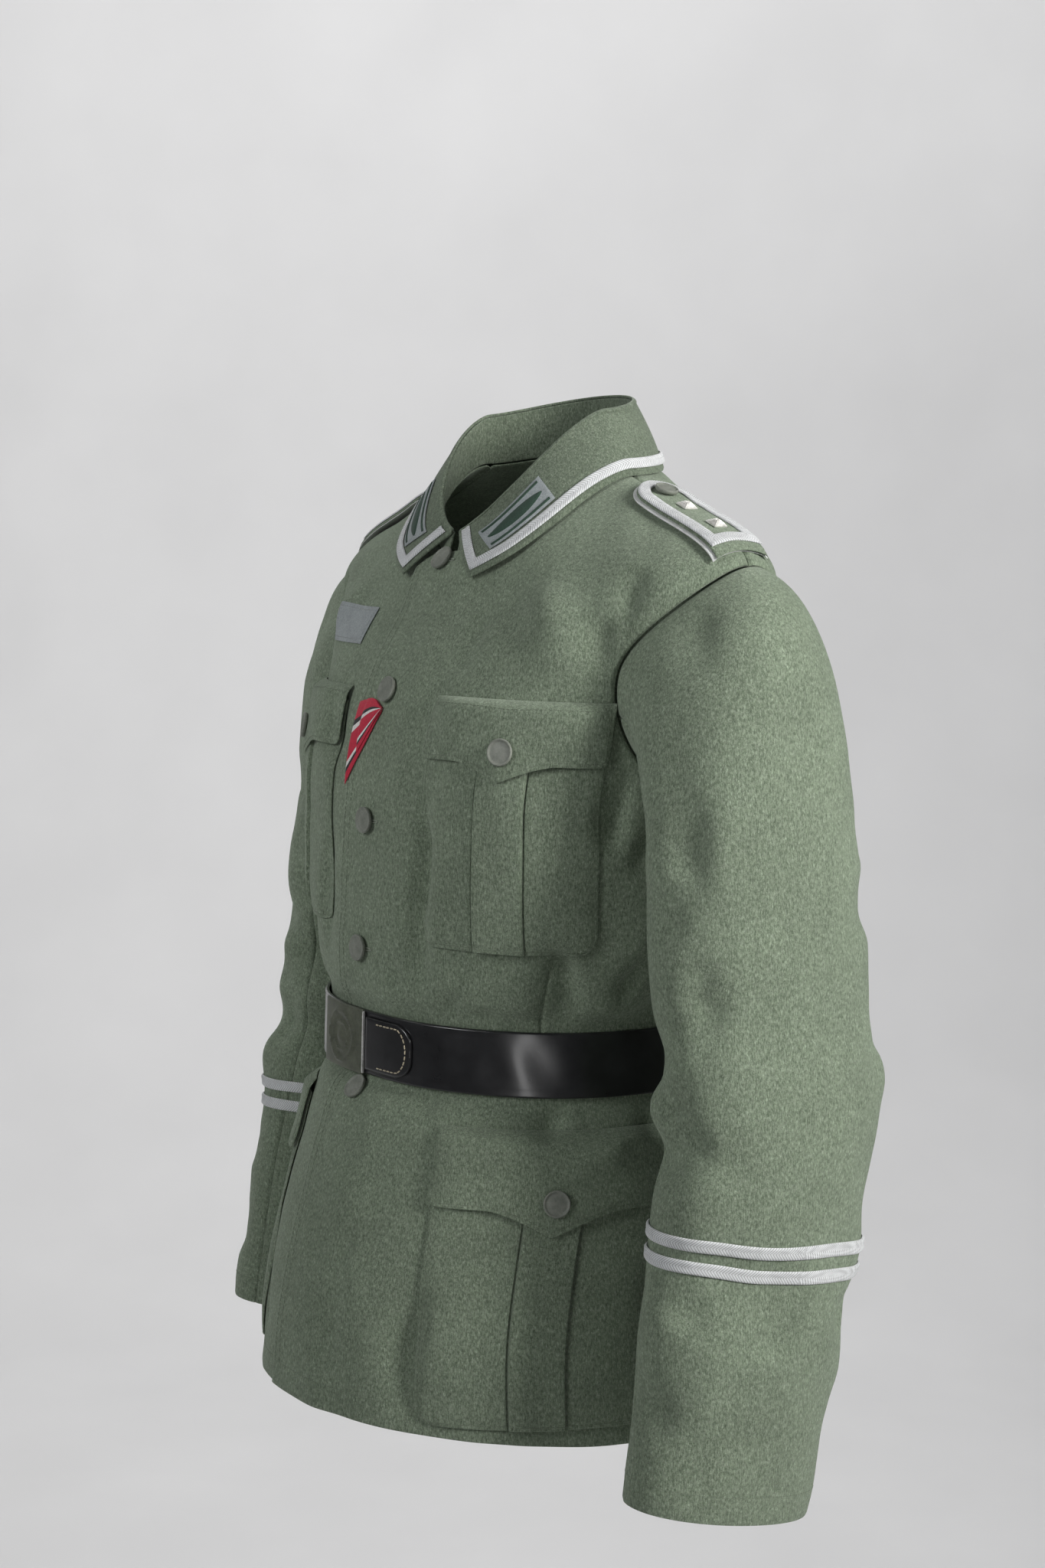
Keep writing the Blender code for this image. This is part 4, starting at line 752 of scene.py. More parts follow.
def torso_normal(turn, level):
    """Outward normal of the torso's cloth, folds and all."""
    return slope_normal(torso, turn, level, *NORMAL_STEPS)


def turn_of_across(across, level):
    """Turn of a point this far to the left of the centre front, measured along X."""
    ratio = np.abs(across) / smooth(TORSO, "half_width", level)
    return np.sign(across) * np.degrees(np.arcsin(ratio ** (smooth(TORSO, "squareness", level) / 2)))


def lap_lift(turn, level):
    """How far the left front stands off to lie over the right front."""
    x = torso_base(turn, level)[..., 0]
    fade = np.clip((x - LAP_FADE_START) / (LAP_FADE_END - LAP_FADE_START), 0, 1)
    return LAP_LIFT * (1 - fade * fade * (3 - 2 * fade))


ARC_TURNS = np.arange(0.0, 181.0, 1.5)


def place(across, z):
    """(turn, level) of points this far round from the centre front at these heights."""
    across, z = np.broadcast_arrays(np.asarray(across, float), np.asarray(z, float))
    shape = across.shape
    far, height = np.abs(across).ravel(), z.ravel()
    levels = np.linspace(HEM, NECK, 131)
    level = np.interp(height, smooth(TORSO, "front_z", levels), levels)
    for _ in range(5):
        ring = torso_base(ARC_TURNS[None, :], level[:, None])
        steps = np.linalg.norm(np.diff(ring[..., :2], axis=1), axis=-1)
        run = np.concatenate([np.zeros((len(far), 1)), np.cumsum(steps, axis=1)], axis=1)
        spot = np.clip((run <= far[:, None]).sum(axis=1) - 1, 0, len(ARC_TURNS) - 2)
        low = np.take_along_axis(run, spot[:, None], 1)[:, 0]
        high = np.take_along_axis(run, spot[:, None] + 1, 1)[:, 0]
        turn = ARC_TURNS[spot] + (far - low) / (high - low) * (ARC_TURNS[1] - ARC_TURNS[0])
        here = torso_base(turn, level)[:, 2]
        rise = np.maximum(torso_base(turn, level + 0.05)[:, 2] - here, 1e-4)
        level = np.clip(level + (height - here) / rise * 0.05, HEM, NECK)
    return (np.sign(across.ravel()) * turn).reshape(shape), level.reshape(shape)


def armhole(hole_turn, shrink=1.0):
    """(turn, level) round the left armhole: 0 is the shoulder, 90 the front, 180 the armpit."""
    angle = np.radians(np.asarray(hole_turn, float))
    level = 0.5 * (ARMPIT + SHOULDER) + shrink * 0.5 * (SHOULDER - ARMPIT) * np.cos(angle)
    return SIDE_TURN - shrink * HOLE_TURN * np.sin(angle), level


def sleeve_ring(turn, row):
    """Point of the lower sleeve: turn 0 is the outside, 90 the front and 180 the inside."""
    angle = np.radians(turn)
    out = smooth(SLEEVE, "half_width", row) * power(np.cos(angle), ROUND_SLEEVE)
    x = smooth(SLEEVE, "centre_x", row) + out
    forward = -smooth(SLEEVE, "half_depth", row) * power(np.sin(angle), ROUND_SLEEVE)
    z = smooth(SLEEVE, "z", row) - smooth(SLEEVE, "slope", row) * forward
    return np.stack([x, smooth(SLEEVE, "centre_y", row) + forward, z], axis=-1)


def sleeve_base(turn, along):
    """The sleeve without folds: along 0 to 1 is its head, and each later number a row lower."""
    turn, along = np.broadcast_arrays(np.asarray(turn, float), np.asarray(along, float))
    start = torso(*armhole(turn, ARMHOLE_SHRINK))
    end = sleeve_ring(turn, np.zeros_like(turn))
    reach = np.linalg.norm(end - start, axis=-1)[..., None]
    angle = np.radians(turn)
    out = unit(np.stack([np.full_like(angle, HEAD_OUT[0]), HEAD_OUT[1] * np.sin(angle),
                         np.full_like(angle, HEAD_OUT[2])], axis=-1))
    down = unit(sleeve_ring(turn, np.full_like(turn, 0.05)) - end)
    t = np.clip(along, 0, 1)[..., None]
    head = ((2 * t**3 - 3 * t**2 + 1) * start + (t**3 - 2 * t**2 + t) * out * reach * HEAD_FULLNESS
            + (3 * t**2 - 2 * t**3) * end + (t**3 - t**2) * down * reach)
    lower = sleeve_ring(turn, np.clip(along - 1, 0, CUFF - 1))
    return np.where((along < 1)[..., None], head, lower)


def sleeve(turn, along):
    """The left sleeve's cloth with its folds, which die out at the armhole and the cuff."""
    turn, along = np.broadcast_arrays(np.asarray(turn, float), np.clip(along, 0.0, CUFF))
    ends = np.clip(along / 0.5, 0, 1) * np.clip((CUFF - along) / 0.4, 0, 1)
    height = fold_height(SLEEVE_FOLDS, turn, along, "along") * ends
    return sleeve_base(turn, along) + slope_normal(sleeve_base, turn, along, 1.0, 0.03) * height[..., None]


def sleeve_normal(turn, along):
    """Outward normal of the sleeve; at the armhole it is half way to the torso's."""
    own = slope_normal(sleeve, turn, np.maximum(along, 0.03), 1.0, 0.02)
    shared = unit(own + torso_normal(*armhole(turn)))
    return np.where((np.asarray(along) <= 0)[..., None], shared, own)


def arm_side(points, side, along):
    """Mirrors sleeve points for the right arm, which hangs a little further back."""
    if side > 0:
        return points
    back = smooth(SLEEVE, "right_back", np.clip(along - 1, 0, CUFF - 1)) * np.clip(along, 0, 1)
    moved = points * np.array([-1.0, 1.0, 1.0])
    moved[..., 1] += back
    return moved


def neck_out(turn):
    """Level outward direction round the neck."""
    point = torso_base(turn, NECK)
    flat = point * np.array([1.0, 1.0, 0.0])
    return unit(flat)


def stand_point(turn, share):
    """Outer point of the collar's stand, from the neckline at share 0 to the fold at 1."""
    turn, share = np.broadcast_arrays(np.asarray(turn, float), np.asarray(share, float))
    rise = by_turn(COLLAR, "stand", turn) * share
    point = torso_base(turn, NECK) - neck_out(turn) * (STAND_LEAN * share)[..., None]
    point[..., 2] += STAND_LIFT + rise
    return point


def fall_edge(turn):
    """Inner point of the fall's lower edge, above the cloth it lies on."""
    mirrored = np.where(turn > 180.0, -1.0, 1.0)
    edge = by_turn(COLLAR, "edge_turn", turn)
    level = by_turn(COLLAR, "edge_level", turn)
    where = mirrored * edge
    lift = by_turn(COLLAR, "edge_lift", turn)
    return torso_base(where, level) + slope_normal(torso_base, where, level, *NORMAL_STEPS) * lift[..., None]


def fall_point(turn, share, lift=0.0):
    """Inner face of the fall from under its fold, share 0, to its edge, share 1, moved out by lift."""
    turn, share = np.broadcast_arrays(np.asarray(turn, float), np.asarray(share, float))
    top = stand_point(turn, 1.0) + neck_out(turn) * REST_GAP
    top[..., 2] -= FALL_START_DROP
    edge = fall_edge(turn)
    bow = neck_out(turn) * (FALL_BOW * np.sin(np.pi * share))[..., None]
    return top + (edge - top) * share[..., None] + bow + fall_normal(turn) * lift


def fall_normal(turn):
    """Outward normal of the fall, taken level with its middle and alike from fold to edge."""
    after = np.asarray(turn, float) + 1.0
    before = np.asarray(turn, float) - 1.0
    round_neck = stand_point(after, 1.0) - stand_point(before, 1.0) + fall_edge(after) - fall_edge(before)
    up = stand_point(turn, 1.0) - fall_edge(np.asarray(turn, float))
    return unit(np.cross(round_neck, up))


def fall_length(turn):
    """Length of the fall from under its fold to its edge at these turns."""
    return np.linalg.norm(fall_edge(np.asarray(turn, float)) - fall_point(turn, 0.0), axis=-1)


def shoulder_place(x, y):
    """(turn, level) of the points on the shoulder's top that lie over x and y."""
    x, y = np.broadcast_arrays(np.asarray(x, float), np.asarray(y, float))
    turn, level = np.full(x.shape, 90.0), np.full(x.shape, 12.0)
    for _ in range(14):
        here = torso_base(turn, level)
        by_turn_step = (torso_base(turn + 0.2, level) - here) / 0.2
        by_level_step = (torso_base(turn, level + 0.01) - here) / 0.01
        gap_x, gap_y = x - here[..., 0], y - here[..., 1]
        area = by_turn_step[..., 0] * by_level_step[..., 1] - by_turn_step[..., 1] * by_level_step[..., 0]
        area = np.where(np.abs(area) < 1e-9, 1e-9, area)
        turn_move = (gap_x * by_level_step[..., 1] - gap_y * by_level_step[..., 0]) / area
        level_move = (by_turn_step[..., 0] * gap_y - by_turn_step[..., 1] * gap_x) / area
        turn = turn + np.clip(turn_move, -10, 10)
        level = np.clip(level + np.clip(level_move, -0.5, 0.5), ARMPIT, NECK)
    return turn, level


def strap_point(x, y, lift):
    """Points over the left shoulder: a strap bends less than the shoulder under it."""
    x, y, lift = np.broadcast_arrays(*(np.asarray(value, float) for value in (x, y, lift)))
    level_y = np.zeros_like(y)
    ridge = torso_base(*shoulder_place(x, level_y))
    inner = torso_base(*shoulder_place(x - 0.01, level_y))
    outer = torso_base(*shoulder_place(x + 0.01, level_y))
    normal = unit(np.cross(outer - inner, np.array([0.0, 1.0, 0.0])))
    resting = torso_base(*shoulder_place(x, y))
    flat = ridge + y[..., None] * np.array([0.0, 1.0, 0.0])
    return resting * (1 - STRAP_FLATTEN) + flat * STRAP_FLATTEN + normal * lift[..., None]



# Worn cloth: the solids' surfaces with the creases on them

CREASE_FRAMES = {}


def crease_frame(surface, key, row):
    """Start, unit direction, length, side and outward directions of one crease."""
    if key not in CREASE_FRAMES:
        start, end = surface(row[1], row[2]), surface(row[3], row[4])
        middle = surface(0.5 * (row[1] + row[3]), 0.5 * (row[2] + row[4]))
        around = surface(0.5 * (row[1] + row[3]) + 2.0, 0.5 * (row[2] + row[4])) - middle
        above = surface(0.5 * (row[1] + row[3]), 0.5 * (row[2] + row[4]) + 0.1) - middle
        out = unit(np.cross(around, above))
        length = float(np.linalg.norm(end - start))
        axis = (end - start) / length
        out = unit(out - axis * (out @ axis))
        CREASE_FRAMES[key] = (start, axis, length, np.cross(axis, out), out)
    return CREASE_FRAMES[key]


def crease_height(table, surface, points):
    """How far the creases move these points of the crease-free surface out."""
    total = np.zeros(points.shape[:-1])
    for number, row in enumerate(table[1:]):
        start, axis, length, side, out = crease_frame(surface, (id(table), number), row)
        rel = points - start
        along = rel @ axis / length
        across = rel @ side - row[5] * 4 * along * (1 - along)
        off = rel @ out
        ends = np.clip(along / CREASE_END, 0, 1) * np.clip((1 - along) / CREASE_END, 0, 1)
        ends = ends * ends * (3 - 2 * ends)
        width = np.where(across < 0, row[6], row[7]) * (1 + CREASE_WIDENS * along)
        uneven = 1 + CREASE_UNEVEN * np.sin(7.0 * along + 1.7 * number)
        shape = hump(across, width) * hump(off, CREASE_REACH)
        total += CREASE_STRENGTH * row[8] * uneven * ends * shape
    return total


def ripple(points):
    """Low uneven waves that keep the cloth from looking pressed."""
    total = np.zeros(points.shape[:-1])
    for number, row in enumerate(RIPPLES[1:]):
        swing = points @ np.array(row[1:4])
        total += row[4] * np.sin(swing + 2.0 * np.sin(0.37 * swing + number))
    return total


def torso_frame(turn, level):
    """Points of the torso's cloth, their normals, and how far the creases move them."""
    turn, level = np.broadcast_arrays(np.asarray(turn, float), np.asarray(level, float))
    points = torso(turn, level)
    normals = torso_normal(turn, level)
    belt = np.clip(np.abs(level - BELT_MIDDLE) - 0.5, 0, 0.4) / 0.4
    hole = np.hypot((np.abs((turn % 360.0 + 180) % 360 - 180) - SIDE_TURN) / HOLE_TURN, level - 10.0)
    hold = belt * np.clip((hole - 1.0) / 0.12, 0, 1) * np.clip((NECK - level) / 0.4, 0, 1)
    height = (crease_height(TORSO_CREASES, torso_base, points) + ripple(points)) * hold
    return points, normals, height


def worn(side, turn, level, lift):
    """Point on the creased outer cloth of one side, moved out by lift; side is 1 for left, -1 for right."""
    turn, level = np.broadcast_arrays(np.asarray(turn, float), np.asarray(level, float))
    where = side * turn
    points, normals, height = torso_frame(where, level)
    out = np.asarray(lift, float) + height + (lap_lift(where, level) if side > 0 else 0.0)
    return points + normals * np.broadcast_to(out, where.shape)[..., None]


def sleeve_worn(side, turn, along, lift):
    """Point on one side's creased sleeve, moved out by lift."""
    turn, along = np.broadcast_arrays(np.asarray(turn, float), np.asarray(along, float))
    points = sleeve(turn, along)
    normals = sleeve_normal(turn, along)
    hold = np.clip(along / 0.10, 0, 1) * np.clip((CUFF - along) / 0.15, 0, 1)
    creases = LEFT_SLEEVE_CREASES if side > 0 else RIGHT_SLEEVE_CREASES
    height = (crease_height(creases, sleeve_base, points) + ripple(points + 0.31 * side)) * hold
    out = np.broadcast_to(np.asarray(lift, float) + height, turn.shape)
    return arm_side(points + normals * out[..., None], side, along)


# Grids and meshes

def dense_shares(length, step, start_steps, end_steps):
    """Shares from 0 to 1 along a length: small named steps at each end, even ones between."""
    start = np.cumsum(np.array((0.0,) + tuple(start_steps)))
    end = length - np.cumsum(np.array((0.0,) + tuple(end_steps)))[::-1]
    count = max(int(round((end[0] - start[-1]) / step)), 1)
    middle = np.linspace(start[-1], end[0], count + 1)[1:-1]
    return np.concatenate([start, middle, end]) / length


def both_ends(length, step, edge_steps):
    """dense_shares with the same small steps at both ends."""
    return dense_shares(length, step, edge_steps, edge_steps[::-1])


def run_along(points, axis):
    """Distance run along one axis of a grid of points."""
    steps = np.linalg.norm(np.diff(points, axis=axis), axis=-1)
    zero = np.zeros_like(np.take(steps, [0], axis=axis))
    return np.concatenate([zero, np.cumsum(steps, axis=axis)], axis=axis)


def edge_distances(points):
    """Distance of each grid point from the first row, last row, first and last column."""
    up = run_along(points, 0)
    across = run_along(points, 1)
    return up, up[-1:, :] - up, across, across[:, -1:] - across


def seam_roll(points, low, high, first, last):
    """Depth that rolls the named edges of a grid in; each is a depth, or 0 for none."""
    total = np.zeros(points.shape[:-1])
    for depth, distance in zip((low, high, first, last), edge_distances(points)):
        if depth:
            total = np.maximum(total, depth * hump(distance, SEAM_ROLL_WIDTH))
    return total


def make_mesh(name, points, faces, material, nodes, uv=None, smooth_faces=True):
    """Makes one shown piece, tied to the body and the solids that it replaces."""
    mesh = bpy.data.meshes.new(name)
    mesh.from_pydata(points.tolist(), [], faces)
    if smooth_faces:
        mesh.shade_smooth()
        mesh.set_sharp_from_angle(angle=SHARP_ANGLE)
    if uv is not None:
        layer = mesh.uv_layers.new(name="metres")
        corners = np.empty(len(mesh.loops), dtype=np.int32)
        mesh.loops.foreach_get("vertex_index", corners)
        layer.data.foreach_set("uv", uv[corners].astype(np.float32).ravel())
    mesh.materials.append(material)
    item = bpy.data.objects.new(name, mesh)
    bpy.context.scene.collection.objects.link(item)
    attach(item, "root")
    if nodes:
        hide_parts(*nodes)
    return item


def wall_faces(rows, columns, closed=False):
    """Faces of a wall between an outer and an inner grid, wound to face outward."""
    count = rows * columns
    index = np.arange(count).reshape(rows, columns)
    if closed:
        index = np.concatenate([index, index[:, :1]], axis=1)
    a, b, c, d = index[:-1, :-1], index[:-1, 1:], index[1:, 1:], index[1:, :-1]
    outer = np.stack([a, b, c, d], axis=-1).reshape(-1, 4)
    inner = np.stack([d, c, b, a], axis=-1).reshape(-1, 4) + count
    rims = [index[0, ::-1], index[-1, :]]
    if not closed:
        rims += [index[:, 0], index[::-1, -1]]
    sides = [np.stack([rim[:-1], rim[1:], rim[1:] + count, rim[:-1] + count], axis=-1) for rim in rims]
    return np.concatenate([outer, inner] + sides)


def grid_uv(outer):
    """Metres across and up a grid, measured on its middle row and column."""
    across = run_along(outer, 1)
    up = run_along(outer, 0)
    return np.stack([across, np.broadcast_to(up[:, :1], across.shape)], axis=-1).reshape(-1, 2)


def soft_rim(outer, inner, amount):
    """Brings the two faces together along the open edges, so that the edge looks rounded."""
    middle = 0.5 * (outer + inner)
    for edge in (np.s_[0, :], np.s_[-1, :], np.s_[:, 0], np.s_[:, -1]):
        outer[edge] = outer[edge] + (middle[edge] - outer[edge]) * amount
        inner[edge] = inner[edge] + (middle[edge] - inner[edge]) * amount


def cloth_shell(name, outer, inner, material, nodes, closed=False, rim=RIM_SOFTNESS, uv=None):
    """A thin shell from two grids, with its faces turned so that they look outward."""
    across, up = outer[:-1, 1:] - outer[:-1, :-1], outer[1:, :-1] - outer[:-1, :-1]
    facing = (np.cross(across, up) * (outer - inner)[:-1, :-1]).sum()
    if rim and not closed:
        soft_rim(outer, inner, rim)
    faces = wall_faces(outer.shape[0], outer.shape[1], closed)
    if facing < 0:
        faces = faces[:, ::-1]
    points = np.concatenate([outer.reshape(-1, 3), inner.reshape(-1, 3)])
    uv = grid_uv(outer) if uv is None else uv
    return make_mesh(name, points, faces.tolist(), material, nodes, np.concatenate([uv, uv]))


# Torso panels


def outer_turn(level):
    """Turn of the side seam, the armhole or the shoulder seam at this level, on the front."""
    middle = 0.5 * (ARMPIT + SHOULDER)
    inside = np.clip(1 - (level - middle) ** 2, 0, None)
    return SIDE_TURN - HOLE_TURN * np.sqrt(inside) * ((level > ARMPIT) & (level < SHOULDER))


def lap_turn(lap, lap_at_neck, level):
    """Turn of a front edge that laps this far past the centre, less towards the neck."""
    share = np.clip(level - (NECK - 1.0), 0, 1)
    return turn_of_across(-(lap + (lap_at_neck - lap) * share), level)


def panel_levels():
    """Row levels of a panel, about a grid step apart, closer at the hem and the neck."""
    fine = np.linspace(HEM, ARMPIT, 901)
    heights = smooth(TORSO, "side_z", fine)
    rise = heights[-1] - heights[0]
    low = np.interp(heights[0] + rise * dense_shares(rise, PANEL_STEP, EDGE_STEPS, ()), heights, fine)
    hole = 0.5 * (ARMPIT + SHOULDER) - np.cos(np.radians(np.linspace(0, 180, HOLE_ROWS + 1)))
    high = SHOULDER + (NECK - SHOULDER) * dense_shares(SHOULDER_RUN, PANEL_STEP, (), EDGE_STEPS[::-1])
    return np.concatenate([low[:-1], hole[:-1], high])


def panel_piece(label, where, levels, points, normals, height):
    """The cloth of one torso panel, moved out by height."""
    outer = points + normals * height[..., None]
    inner = points + normals * (height - WALL)[..., None]
    item = cloth_shell(f"{label}_cloth", outer, inner, FINISHES["wool"], [label])
    torso_base(where, levels)


def front_panel(side):
    """One front, with the dart between the pockets; the left one laps over the right."""
    levels = panel_levels()[:, None]
    lap = (LAP, LAP_AT_NECK) if side > 0 else (UNDERLAP, UNDERLAP_AT_NECK)
    inner, outer = lap_turn(*lap, levels), outer_turn(levels) - SEAM_TURN
    dart = float(place(DART_ACROSS, DART_MIDDLE_Z)[0])
    near = dense_shares(FRONT_TO_DART, PANEL_STEP, EDGE_STEPS, DART_STEPS[::-1])
    far = dense_shares(DART_TO_SIDE, PANEL_STEP, DART_STEPS, EDGE_STEPS[::-1])
    turns = np.concatenate([inner + (dart - inner) * near, dart + (outer - dart) * far[1:]], axis=1)
    levels = np.broadcast_to(levels, turns.shape)
    where = side * turns
    points, normals, height = torso_frame(where, levels)
    run = run_along(points, 1)
    dart_gap = run - run[:, len(near) - 1:len(near)]
    window = np.clip((DART_HIGH - levels) / DART_FADE, 0, 1) * (levels > BELT_HIGH)
    height = height - DART_DEPTH * hump(dart_gap, DART_WIDTH) * window
    height = height - seam_roll(points, 0, 0, FRONT_EDGE_ROLL, SEAM_ROLL)
    if side > 0:
        height = height + lap_lift(where, levels)
    label = side_name(side)
    panel_piece(f"{label}_front", where, levels, points, normals, height)


def back_panel(side):
    """One half of the back, from the side seam to the seam down the middle."""
    levels = panel_levels()[:, None]
    outer = 2 * SIDE_TURN - outer_turn(levels) + SEAM_TURN
    turns = outer + (180.0 - SEAM_TURN - outer) * both_ends(BACK_ACROSS, PANEL_STEP, EDGE_STEPS)
    levels = np.broadcast_to(levels, turns.shape)
    where = side * turns
    points, normals, height = torso_frame(where, levels)
    height = height - seam_roll(points, 0, 0, SEAM_ROLL, BACK_SEAM_ROLL)
    label = side_name(side)
    panel_piece(f"back_{label}", where, levels, points, normals, height)


# Sleeves

def sleeve_piece(side, name, start, end, around):
    """One piece of a sleeve, from one seam turn to the other and from the armhole to the cuff."""
    head = dense_shares(SLEEVE_HEAD_RUN, PANEL_STEP, EDGE_STEPS, ())
    lower = 1 + (CUFF - 1) * dense_shares(SLEEVE_LOWER_RUN, PANEL_STEP, (), EDGE_STEPS[::-1])
    rows = np.concatenate([head[:-1], lower])[:, None]
    shares = both_ends(around, PANEL_STEP, EDGE_STEPS)
    turns = start + SLEEVE_SEAM_TURN + (end - start - 2 * SLEEVE_SEAM_TURN) * shares[None, :]
    turns, rows = np.broadcast_arrays(turns, rows)
    plain = sleeve(turns, rows)
    roll = seam_roll(plain, SEAM_ROLL, 0, SLEEVE_ROLL, SLEEVE_ROLL)
    label = side_name(side)
    outer = sleeve_worn(side, turns, rows, -roll)
    inner = sleeve_worn(side, turns, rows, -roll - WALL)
    node = f"{label}_{name}"
    item = cloth_shell(f"{node}_cloth", outer, inner, FINISHES["wool"], [node])


def sleeve_rings(side):
    """Two woven bands round the forearm, a little uneven where they were sewn on."""
    turns = np.linspace(0.0, 360.0, RING_COLUMNS, endpoint=False)[None, :]
    shares = braid_shares()[:, None]
    for number, place_name in enumerate(("upper", "lower")):
        top = RING_UPPER + number * RING_STEP
        slow = RING_WAVE * np.sin(np.radians(2 * turns + 70 * number))
        wave = slow + RING_WAVE * np.sin(np.radians(5 * turns))
        rows = top + (wave + shares * RING_WIDTH) / SLEEVE_ROW_HEIGHT
        turn_grid, row_grid = np.broadcast_arrays(turns, rows)
        around = run_along(sleeve(turn_grid, row_grid), 1)
        relief = braid_relief(around, np.broadcast_to(shares, turn_grid.shape) * RING_WIDTH, RING_WIDTH)
        outer = sleeve_worn(side, turn_grid, row_grid, BRAID_SIT + BRAID_WALL + relief)
        inner = sleeve_worn(side, turn_grid, row_grid, BRAID_SIT)
        node = f"{side_name(side)}_sleeve_braid_{place_name}"
        cloth_shell(f"{node}_woven", outer, inner, FINISHES["braid"], [node], closed=True,
                    uv=braid_uv(around, shares))


# Braid

def braid_shares():
    """Shares across a braid, with a point on each side of every rib and at its edges."""
    return np.concatenate([[0.0, 0.04], np.linspace(0.12, 0.88, BRAID_ROWS), [0.96, 1.0]])


def braid_uv(run, shares):
    """Metres along and across a braid, for its weave."""
    across = np.broadcast_to(shares * BRAID_WIDTH, run.shape)
    return np.stack([run, across], axis=-1).reshape(-1, 2)


def braid_relief(run, across, width):
    """Raised slanting cords that meet in the middle of the braid, and its soft edges."""
    from_middle = np.abs(across - width / 2)
    slant = (run + from_middle * BRAID_SLANT) / BRAID_PITCH
    cords = 0.5 + 0.5 * np.cos(2 * np.pi * slant)
    spine = hump(from_middle, BRAID_SPINE)
    border = np.clip((width / 2 - from_middle) / BRAID_BORDER, 0, 1)
    return BRAID_RELIEF * cords * border * (1 - 0.6 * spine) - BRAID_EDGE_DROP * (1 - border) ** 2


# Collar


def around_neck(step_turn):
    """Turns round the neck from one front end to the other, closer at the ends."""
    half = np.concatenate([[4.0, 4.5, 5.3, 6.4, 7.8], np.arange(9.5, 180.0, step_turn), [180.0]])
    return np.concatenate([half, 360.0 - half[::-1][1:]])


def collar_stand():
    """The band that stands up from the neckline under the fall."""
    turns = around_neck(1.8)[None, :]
    shares = dense_shares(STAND_HEIGHT, PANEL_STEP, EDGE_STEPS[:2], EDGE_STEPS[:2])[:, None]
    outer = stand_point(turns, shares)
    inner = outer - neck_out(np.broadcast_to(turns, outer.shape[:2])) * WALL
    base = outer.copy()
    finish = FINISHES["collar"]
    item = cloth_shell("collar_stand_cloth", outer, inner, finish, ["collar_stand"])


def fall_wave(turns, share):
    """Slow rise and dip of the fall between neck and edge, none at the fold."""
    return FALL_WAVE * np.sin(np.radians(3.1 * turns + 40.0)) * share**2


def collar_fall():
    """The leaf that rolls over the stand's top and lies on the shoulders."""
    turns = around_neck(1.4)
    out, normal = neck_out(turns), fall_normal(turns)
    up = np.array([0.0, 0.0, 1.0])
    corner = stand_point(turns, 1.0)
    inner_rows, outer_rows = [], []
    for angle in np.radians(np.linspace(80.0, 0.0, ROLL_ROWS)):
        way = up * math.sin(angle) + out * math.cos(angle)
        inset = out * WALL * 0.6 * math.sin(angle)
        inner_rows.append(corner - inset + way * REST_GAP)
        outer_rows.append(corner - inset + way * (REST_GAP + WALL))
    for share in dense_shares(FALL_HEIGHT, 0.0030, (), EDGE_STEPS[::-1]):
        wave = (fall_wave(turns, share) * (share > 0))[..., None]
        edge_roll = COLLAR_EDGE_ROLL * hump((1 - share) * FALL_HEIGHT, COLLAR_EDGE_WIDTH)
        inner_rows.append(fall_point(turns, share) + normal * wave)
        outer_rows.append(inner_rows[-1] + normal * (WALL - edge_roll))
    outer, inner = np.array(outer_rows), np.array(inner_rows)
    base = outer.copy()
    item = cloth_shell("collar_fall_cloth", outer, inner, FINISHES["collar"], ["collar_fall"])


def fall_turn_from_end(distance, share):
    """Turn on the fall this far from its front end, at this share of the way down."""
    turns = np.linspace(4.0, 40.0, 73)
    line = fall_point(turns, share)
    run = np.concatenate([[0], np.cumsum(np.linalg.norm(np.diff(line, axis=0), axis=1))])
    return float(np.interp(distance, run, turns))


def braid_on_fall(path, name, node):
    """Lays a woven band along a path of ((turn, share) outside, (turn, share) inside) pairs."""
    pairs = np.array(path, float)
    middle = fall_point(pairs[:, 0, 0], pairs[:, 0, 1])
    run = np.concatenate([[0], np.cumsum(np.linalg.norm(np.diff(middle, axis=0), axis=1))])
    even = np.arange(0.0, run[-1], BRAID_STEP)
    spread = np.array([[np.interp(even, run, pairs[:, edge, axis]) for axis in (0, 1)] for edge in (0, 1)])
    shares = braid_shares()[:, None]
    turns = spread[0, 0] + (spread[1, 0] - spread[0, 0]) * shares
    downs = spread[0, 1] + (spread[1, 1] - spread[0, 1]) * shares
    runs = np.broadcast_to(even, turns.shape)
    relief = braid_relief(runs, np.broadcast_to(shares, turns.shape) * BRAID_WIDTH, BRAID_WIDTH)
    wave = fall_wave(turns, downs)
    normal = fall_normal(turns)
    base = fall_point(turns, downs) + normal * (wave + WALL + BRAID_SIT)[..., None]
    outer = base + normal * (BRAID_WALL + relief)[..., None]
    cloth_shell(name, outer, base, FINISHES["braid"], [node], uv=braid_uv(runs, shares))


def collar_braid():
    """The woven edge of the fall: up one front end, along the edge and up the other."""
    near, far = BRAID_INSET, BRAID_INSET + BRAID_WIDTH
    end_length = float(fall_length(4.0))
    near_low, far_low = 1 - near / end_length, 1 - far / end_length
    half = []
    for share in BRAID_END_SHARES:
        half.append(((fall_turn_from_end(near, share), share), (fall_turn_from_end(far, share), share)))
    corner_near = (fall_turn_from_end(near, near_low), near_low)
    half.append((corner_near, (fall_turn_from_end(far, far_low), far_low)))
    for turn in BRAID_TURNS:
        length = float(fall_length(turn))
        half.append(((turn, 1 - near / length), (turn, 1 - far / length)))
    mirrored = [((360 - a[0], a[1]), (360 - b[0], b[1])) for a, b in half[::-1][1:]]
    braid_on_fall(half + mirrored, "collar_braid_woven", "collar_braid")


